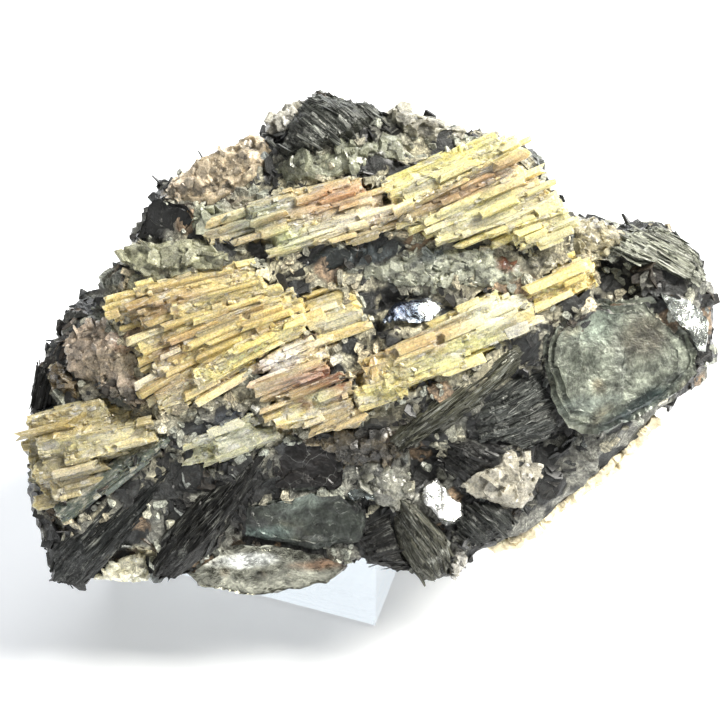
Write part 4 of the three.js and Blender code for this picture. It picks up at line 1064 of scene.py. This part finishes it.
# Quartz, rind and matrix
QUARTZ = {
    # node: base colour, size of the broken facets
    "quartz_brow": ((0.52, 0.53, 0.46), 2.2),
    "quartz_top": ((0.60, 0.59, 0.54), 1.6),
    "quartz_horn": ((0.70, 0.69, 0.65), 1.8),
    "quartz_crust_left": ((0.72, 0.66, 0.56), 1.2),
    "quartz_ledge_left": ((0.54, 0.54, 0.45), 1.8),
    "quartz_block_upper": ((0.60, 0.61, 0.53), 2.0),
    "quartz_patch_tan": ((0.50, 0.46, 0.38), 1.1),
    "quartz_band": ((0.69, 0.70, 0.63), 1.3),
    "quartz_grains_left": ((0.68, 0.62, 0.55), 1.2),
    "quartz_lump_brown": ((0.36, 0.31, 0.22), 1.8),
    "quartz_grains_below": ((0.46, 0.47, 0.49), 0.9),
    "quartz_grain_middle": ((0.50, 0.50, 0.46), 1.4),
    "quartz_grain_pale": ((0.68, 0.66, 0.60), 1.8),
    "quartz_grain_foot": ((0.74, 0.73, 0.70), 1.4),
    "quartz_grain_toe": ((0.93, 0.91, 0.80), 1.0),
    "quartz_grain_right": ((0.66, 0.63, 0.52), 1.2),
}


def quartz_piece(node, seed):
    base, size = QUARTZ[node]
    points, triangles, free = divided(node)
    normals = corner_normals(points, triangles)
    points = warped(points, 1)
    wavy = points + 0.25 * drift(points, 1.4, seed)
    large, number = facets(wavy, size * 1.5, seed, 0.34, 0.14)
    small, grain_number = facets(wavy, size * 0.6, seed + 40, 0.2, 0.1)
    height = large + small + 0.25
    points = points + normals * (free * height)[:, None]
    tint = np.tile(linear(base), (len(points), 1))
    tint = tint * (0.72 + 0.56 * shade(number, seed + 2))[:, None]
    tint = tint * (0.82 + 0.36 * shade(grain_number, seed))[:, None]
    dark = (shade(grain_number, seed + 3) > 0.8) & (noise(points, 3.4, seed + 4, 2) > 0.05)
    tint[dark] = tint[dark] * 0.3
    tint = stained(patched(tint, points, ROCK_PATCHES), points)
    main = (points, triangles, tint, np.full(len(points), 0.5), points)

    def colour(places, dice):
        value = dice.random((len(places), 1))
        near = np.tile(linear(base), (len(places), 1)) * (0.8 + 0.5 * value)
        sooty = np.clip(4 * noise(places, 2.6, seed + 91, 3) - 0.9, 0, 0.85)
        near = patched(blended(near, linear((0.16, 0.17, 0.16)), sooty), places, ROCK_PATCHES)
        return stained(near, places), value[:, 0]

    chosen = (free[triangles] == 1).all(axis=1)
    kinds = (0.22, (0.5 * size, 1.3 * size), (0.2 * size, 0.4 * size), 6)
    chips = strewn(main, chosen, 2.4 * size, kinds, colour, seed + 90)
    finished(node, "grains", joined(main, chips), "quartz")


def rind_piece(node, seed):
    points, triangles, free = divided(node)
    normals = corner_normals(points, triangles)
    points = warped(points, 1)
    broken, number = facets(points, 1.6, seed, 0.3, 0.3)
    height = broken + 0.35 * noise(points, 2.6, seed + 1, 3) + 0.5
    points = points + normals * (free * height)[:, None]
    tint = np.tile(linear((0.97, 0.92, 0.79)), (len(points), 1))
    tint = tint * (0.85 + 0.3 * shade(number, seed + 2))[:, None]
    finished(node, "crust", (points, triangles, tint, np.full(len(points), 0.2), points), "rind")


def fairness(points):
    """How pale the rock is: mostly cloudy quartz between the topaz bundles, and dark mica elsewhere. It also
    turns darker and more micaceous towards the lower left, which paints the shade there.
    """
    share = np.where(points[:, 2] > RIM_LEVEL - 6, height_at(near_topaz, points), 0)
    # Painted shade: pale rock gives way to dark towards the lower left and bottom, away from the key light.
    lower_left_shade = np.clip((-14 - points[:, 1] - 0.3 * points[:, 0]) / 8, 0, 0.6)
    return np.clip(share * (0.75 + 1.3 * noise(points, 4.5, 600, 3)) - lower_left_shade, 0, 1)


def rock_piece(node, seed):
    def fill(points):
        return np.where(points[:, 2] > RIM_LEVEL, height_at(rock_fill, points), NOTHING)

    points, triangles, free = divided(node, 0.62, 1.7, 1.4, fill)
    normals = corner_normals(points, triangles)
    points = warped(points, 1)
    wavy = points + 0.5 * drift(points, 2.4, seed)
    large, block_number = facets(wavy, 3.8, seed, 0.3, 0.2)
    small, number = facets(wavy, 1.3, seed + 40, 0.35, 0.3)
    lean = leaning(block_number, seed + 50)
    lean /= np.linalg.norm(lean, axis=1)[:, None] + 1e-9
    level = np.einsum("ij,ij->i", wavy, lean) / 0.5
    sheet = np.floor(level).astype(np.int64)
    fair = fairness(points)
    micaceous = (shade(block_number, seed + 53) < 0.62 - 0.5 * fair).astype(float)
    pages = 0.55 * (shade(sheet, seed + 54) - 0.5)
    height = large + (1 - micaceous) * small + micaceous * pages + 0.12 * noise(points, 0.9, seed + 55, 2)
    keep = np.clip((-8 - points[:, 2]) / 2, 0.3, 1)
    points = points + normals * (height * keep)[:, None]
    grey = np.tile(linear((0.44, 0.44, 0.41)), (len(points), 1))
    pale = blended(grey, linear((0.62, 0.60, 0.51)), fair) * (0.5 + 0.8 * shade(number, seed + 60))[:, None]
    dark = linear((0.125, 0.13, 0.13)) * (0.5 + 1.3 * shade(sheet, seed + 61))[:, None]
    tint = blended(pale, dark, micaceous)
    warm = linear((0.48, 0.41, 0.33)) * (0.6 + 0.6 * shade(number, seed + 62))[:, None]
    tint = blended(tint, warm, (shade(block_number, seed + 63) > 0.93).astype(float))
    tint = patched(tint, points, ROCK_PATCHES)
    side = np.cross(lean, W @ AXES.T)
    grain = np.stack([np.einsum("ij,ij->i", points, side), level * 0.5, points[:, 2]], axis=1)
    main = (points, triangles, tint, micaceous * (0.6 + 0.4 * shade(sheet, seed + 64)), grain)

    def mica_colour(places, dice):
        value = dice.random((len(places), 1))
        hue = blended(np.tile(linear((0.14, 0.145, 0.145)), (len(places), 1)), linear((0.24, 0.20, 0.15)),
                      np.clip(2 * noise(places, 6, seed + 70, 2) - 0.2, 0, 1))
        silver = (dice.random(len(places)) > 0.93) * 0.5
        hue = blended(hue * (0.3 + 1.8 * value ** 2), linear((0.55, 0.57, 0.56)), silver)
        return hue, 0.6 + 0.4 * value[:, 0]

    def quartz_colour(places, dice):
        value = dice.random((len(places), 1))
        cool = blended(np.tile(linear((0.55, 0.56, 0.52)), (len(places), 1)), linear((0.66, 0.62, 0.52)),
                       np.clip(1.5 * noise(places, 5, seed + 71, 2) + 0.5 * fairness(places), 0, 1))
        return patched(cool * (0.6 + 0.7 * value), places, ROCK_PATCHES), 0.1 * value[:, 0]

    place = points[triangles].mean(axis=1)
    loose = (free[triangles] == 1).all(axis=1)
    grainy = noise(place, 4.5, seed + 72, 2) + 0.5 * fairness(place) > 0.15
    loose &= height_at(kept_bare, place) == 0
    front = place[:, 2] > RIM_LEVEL
    small, large = (0.35, (0.5, 2.2), (0.12, 0.35), 6), (0.35, (0.7, 2.4), (0.2, 0.6), 6)
    parts = [main]
    for chosen, apart, kinds in ((loose & front, 1.4, small), (loose & ~front, 2.9, large)):
        parts.append(strewn(main, chosen & ~grainy, apart, kinds, mica_colour, seed + 90))
    for chosen, apart, width in ((loose & front, 1.8, (0.5, 1.5)), (loose & ~front, 3.0, (0.8, 2.4))):
        kinds = (0.4, width, (0.5, 1.1), 6)
        parts.append(strewn(main, chosen & grainy, apart, kinds, quartz_colour, seed + 95))
    finished(node, "rock", joined(*parts), "matrix")


# All the pieces of the stone, each with a seed of its own
FIRST_SEED, SEED_STEP = 100, 7
MAKERS = [
    (TOPAZ, topaz_piece), (BOOKS, book_piece), (SPLINTERS, splinter_piece), (QUARTZ, quartz_piece),
    (["clay_rind"], rind_piece), (["matrix"], rock_piece),
]
for index, name in enumerate(stone_nodes):
    make = next(make for names, make in MAKERS if name in names)
    make(name, FIRST_SEED + SEED_STEP * index)

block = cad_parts["display_block"]
block.data.materials.clear()
block.data.materials.append(clear_material())

# Floor, lights and camera
bpy.ops.mesh.primitive_plane_add(size=6)
floor = bpy.context.object
floor.name = "floor"
paper = Nodes("floor_paper")
paper.set(Base_Color=(0.86, 0.875, 0.9, 1), Roughness=0.7)
paper.set(Emission_Color=(0.93, 0.96, 1, 1), Emission_Strength=0.34)
floor.data.materials.append(paper.material)


def area_light(name, way, distance, size, power, colour=(1, 1, 1)):
    """A square soft light that looks at the stone from a direction given along u, v and w."""
    light = bpy.data.lights.new(name, "AREA")
    light.size = size
    light.energy = power
    light.color = colour
    lamp = bpy.data.objects.new(name, light)
    bpy.context.scene.collection.objects.link(lamp)
    outward = np.array(way, float) @ AXES
    outward /= np.linalg.norm(outward)
    lamp.location = Vector(FACE_MIDDLE + outward * distance)
    lamp.rotation_mode = "QUATERNION"
    lamp.rotation_quaternion = (Vector(FACE_MIDDLE) - lamp.location).to_track_quat("-Z", "Y")
    return lamp


area_light("key", (0.6, 0.62, 0.5), 0.9, 0.4, 21, (1, 0.97, 0.9))
area_light("back", (0.15, 1, -0.25), 1.0, 0.7, 9, (0.97, 0.98, 1))
area_light("fill", (-0.8, -0.2, 0.7), 1.2, 0.9, 2.2, (1, 0.98, 0.95))
world = bpy.data.worlds.new("studio")
world.use_nodes = True
background = world.node_tree.nodes["Background"]
background.inputs["Color"].default_value = (0.96, 0.98, 0.95, 1)
background.inputs["Strength"].default_value = 0.2
bpy.context.scene.world = world

camera = bpy.data.objects.new("camera", bpy.data.cameras.new("camera"))
bpy.context.scene.collection.objects.link(camera)
camera.data.lens = 60
camera.data.sensor_width = 36
camera.data.clip_start = 0.01
eye_place = Vector(to_row(np.array([0, 0, EYE_DISTANCE])))
camera.matrix_world = Matrix.Translation(eye_place) @ Matrix(AXES.T).to_4x4()
bpy.context.scene.camera = camera
bpy.context.scene.view_settings.view_transform = "Standard"
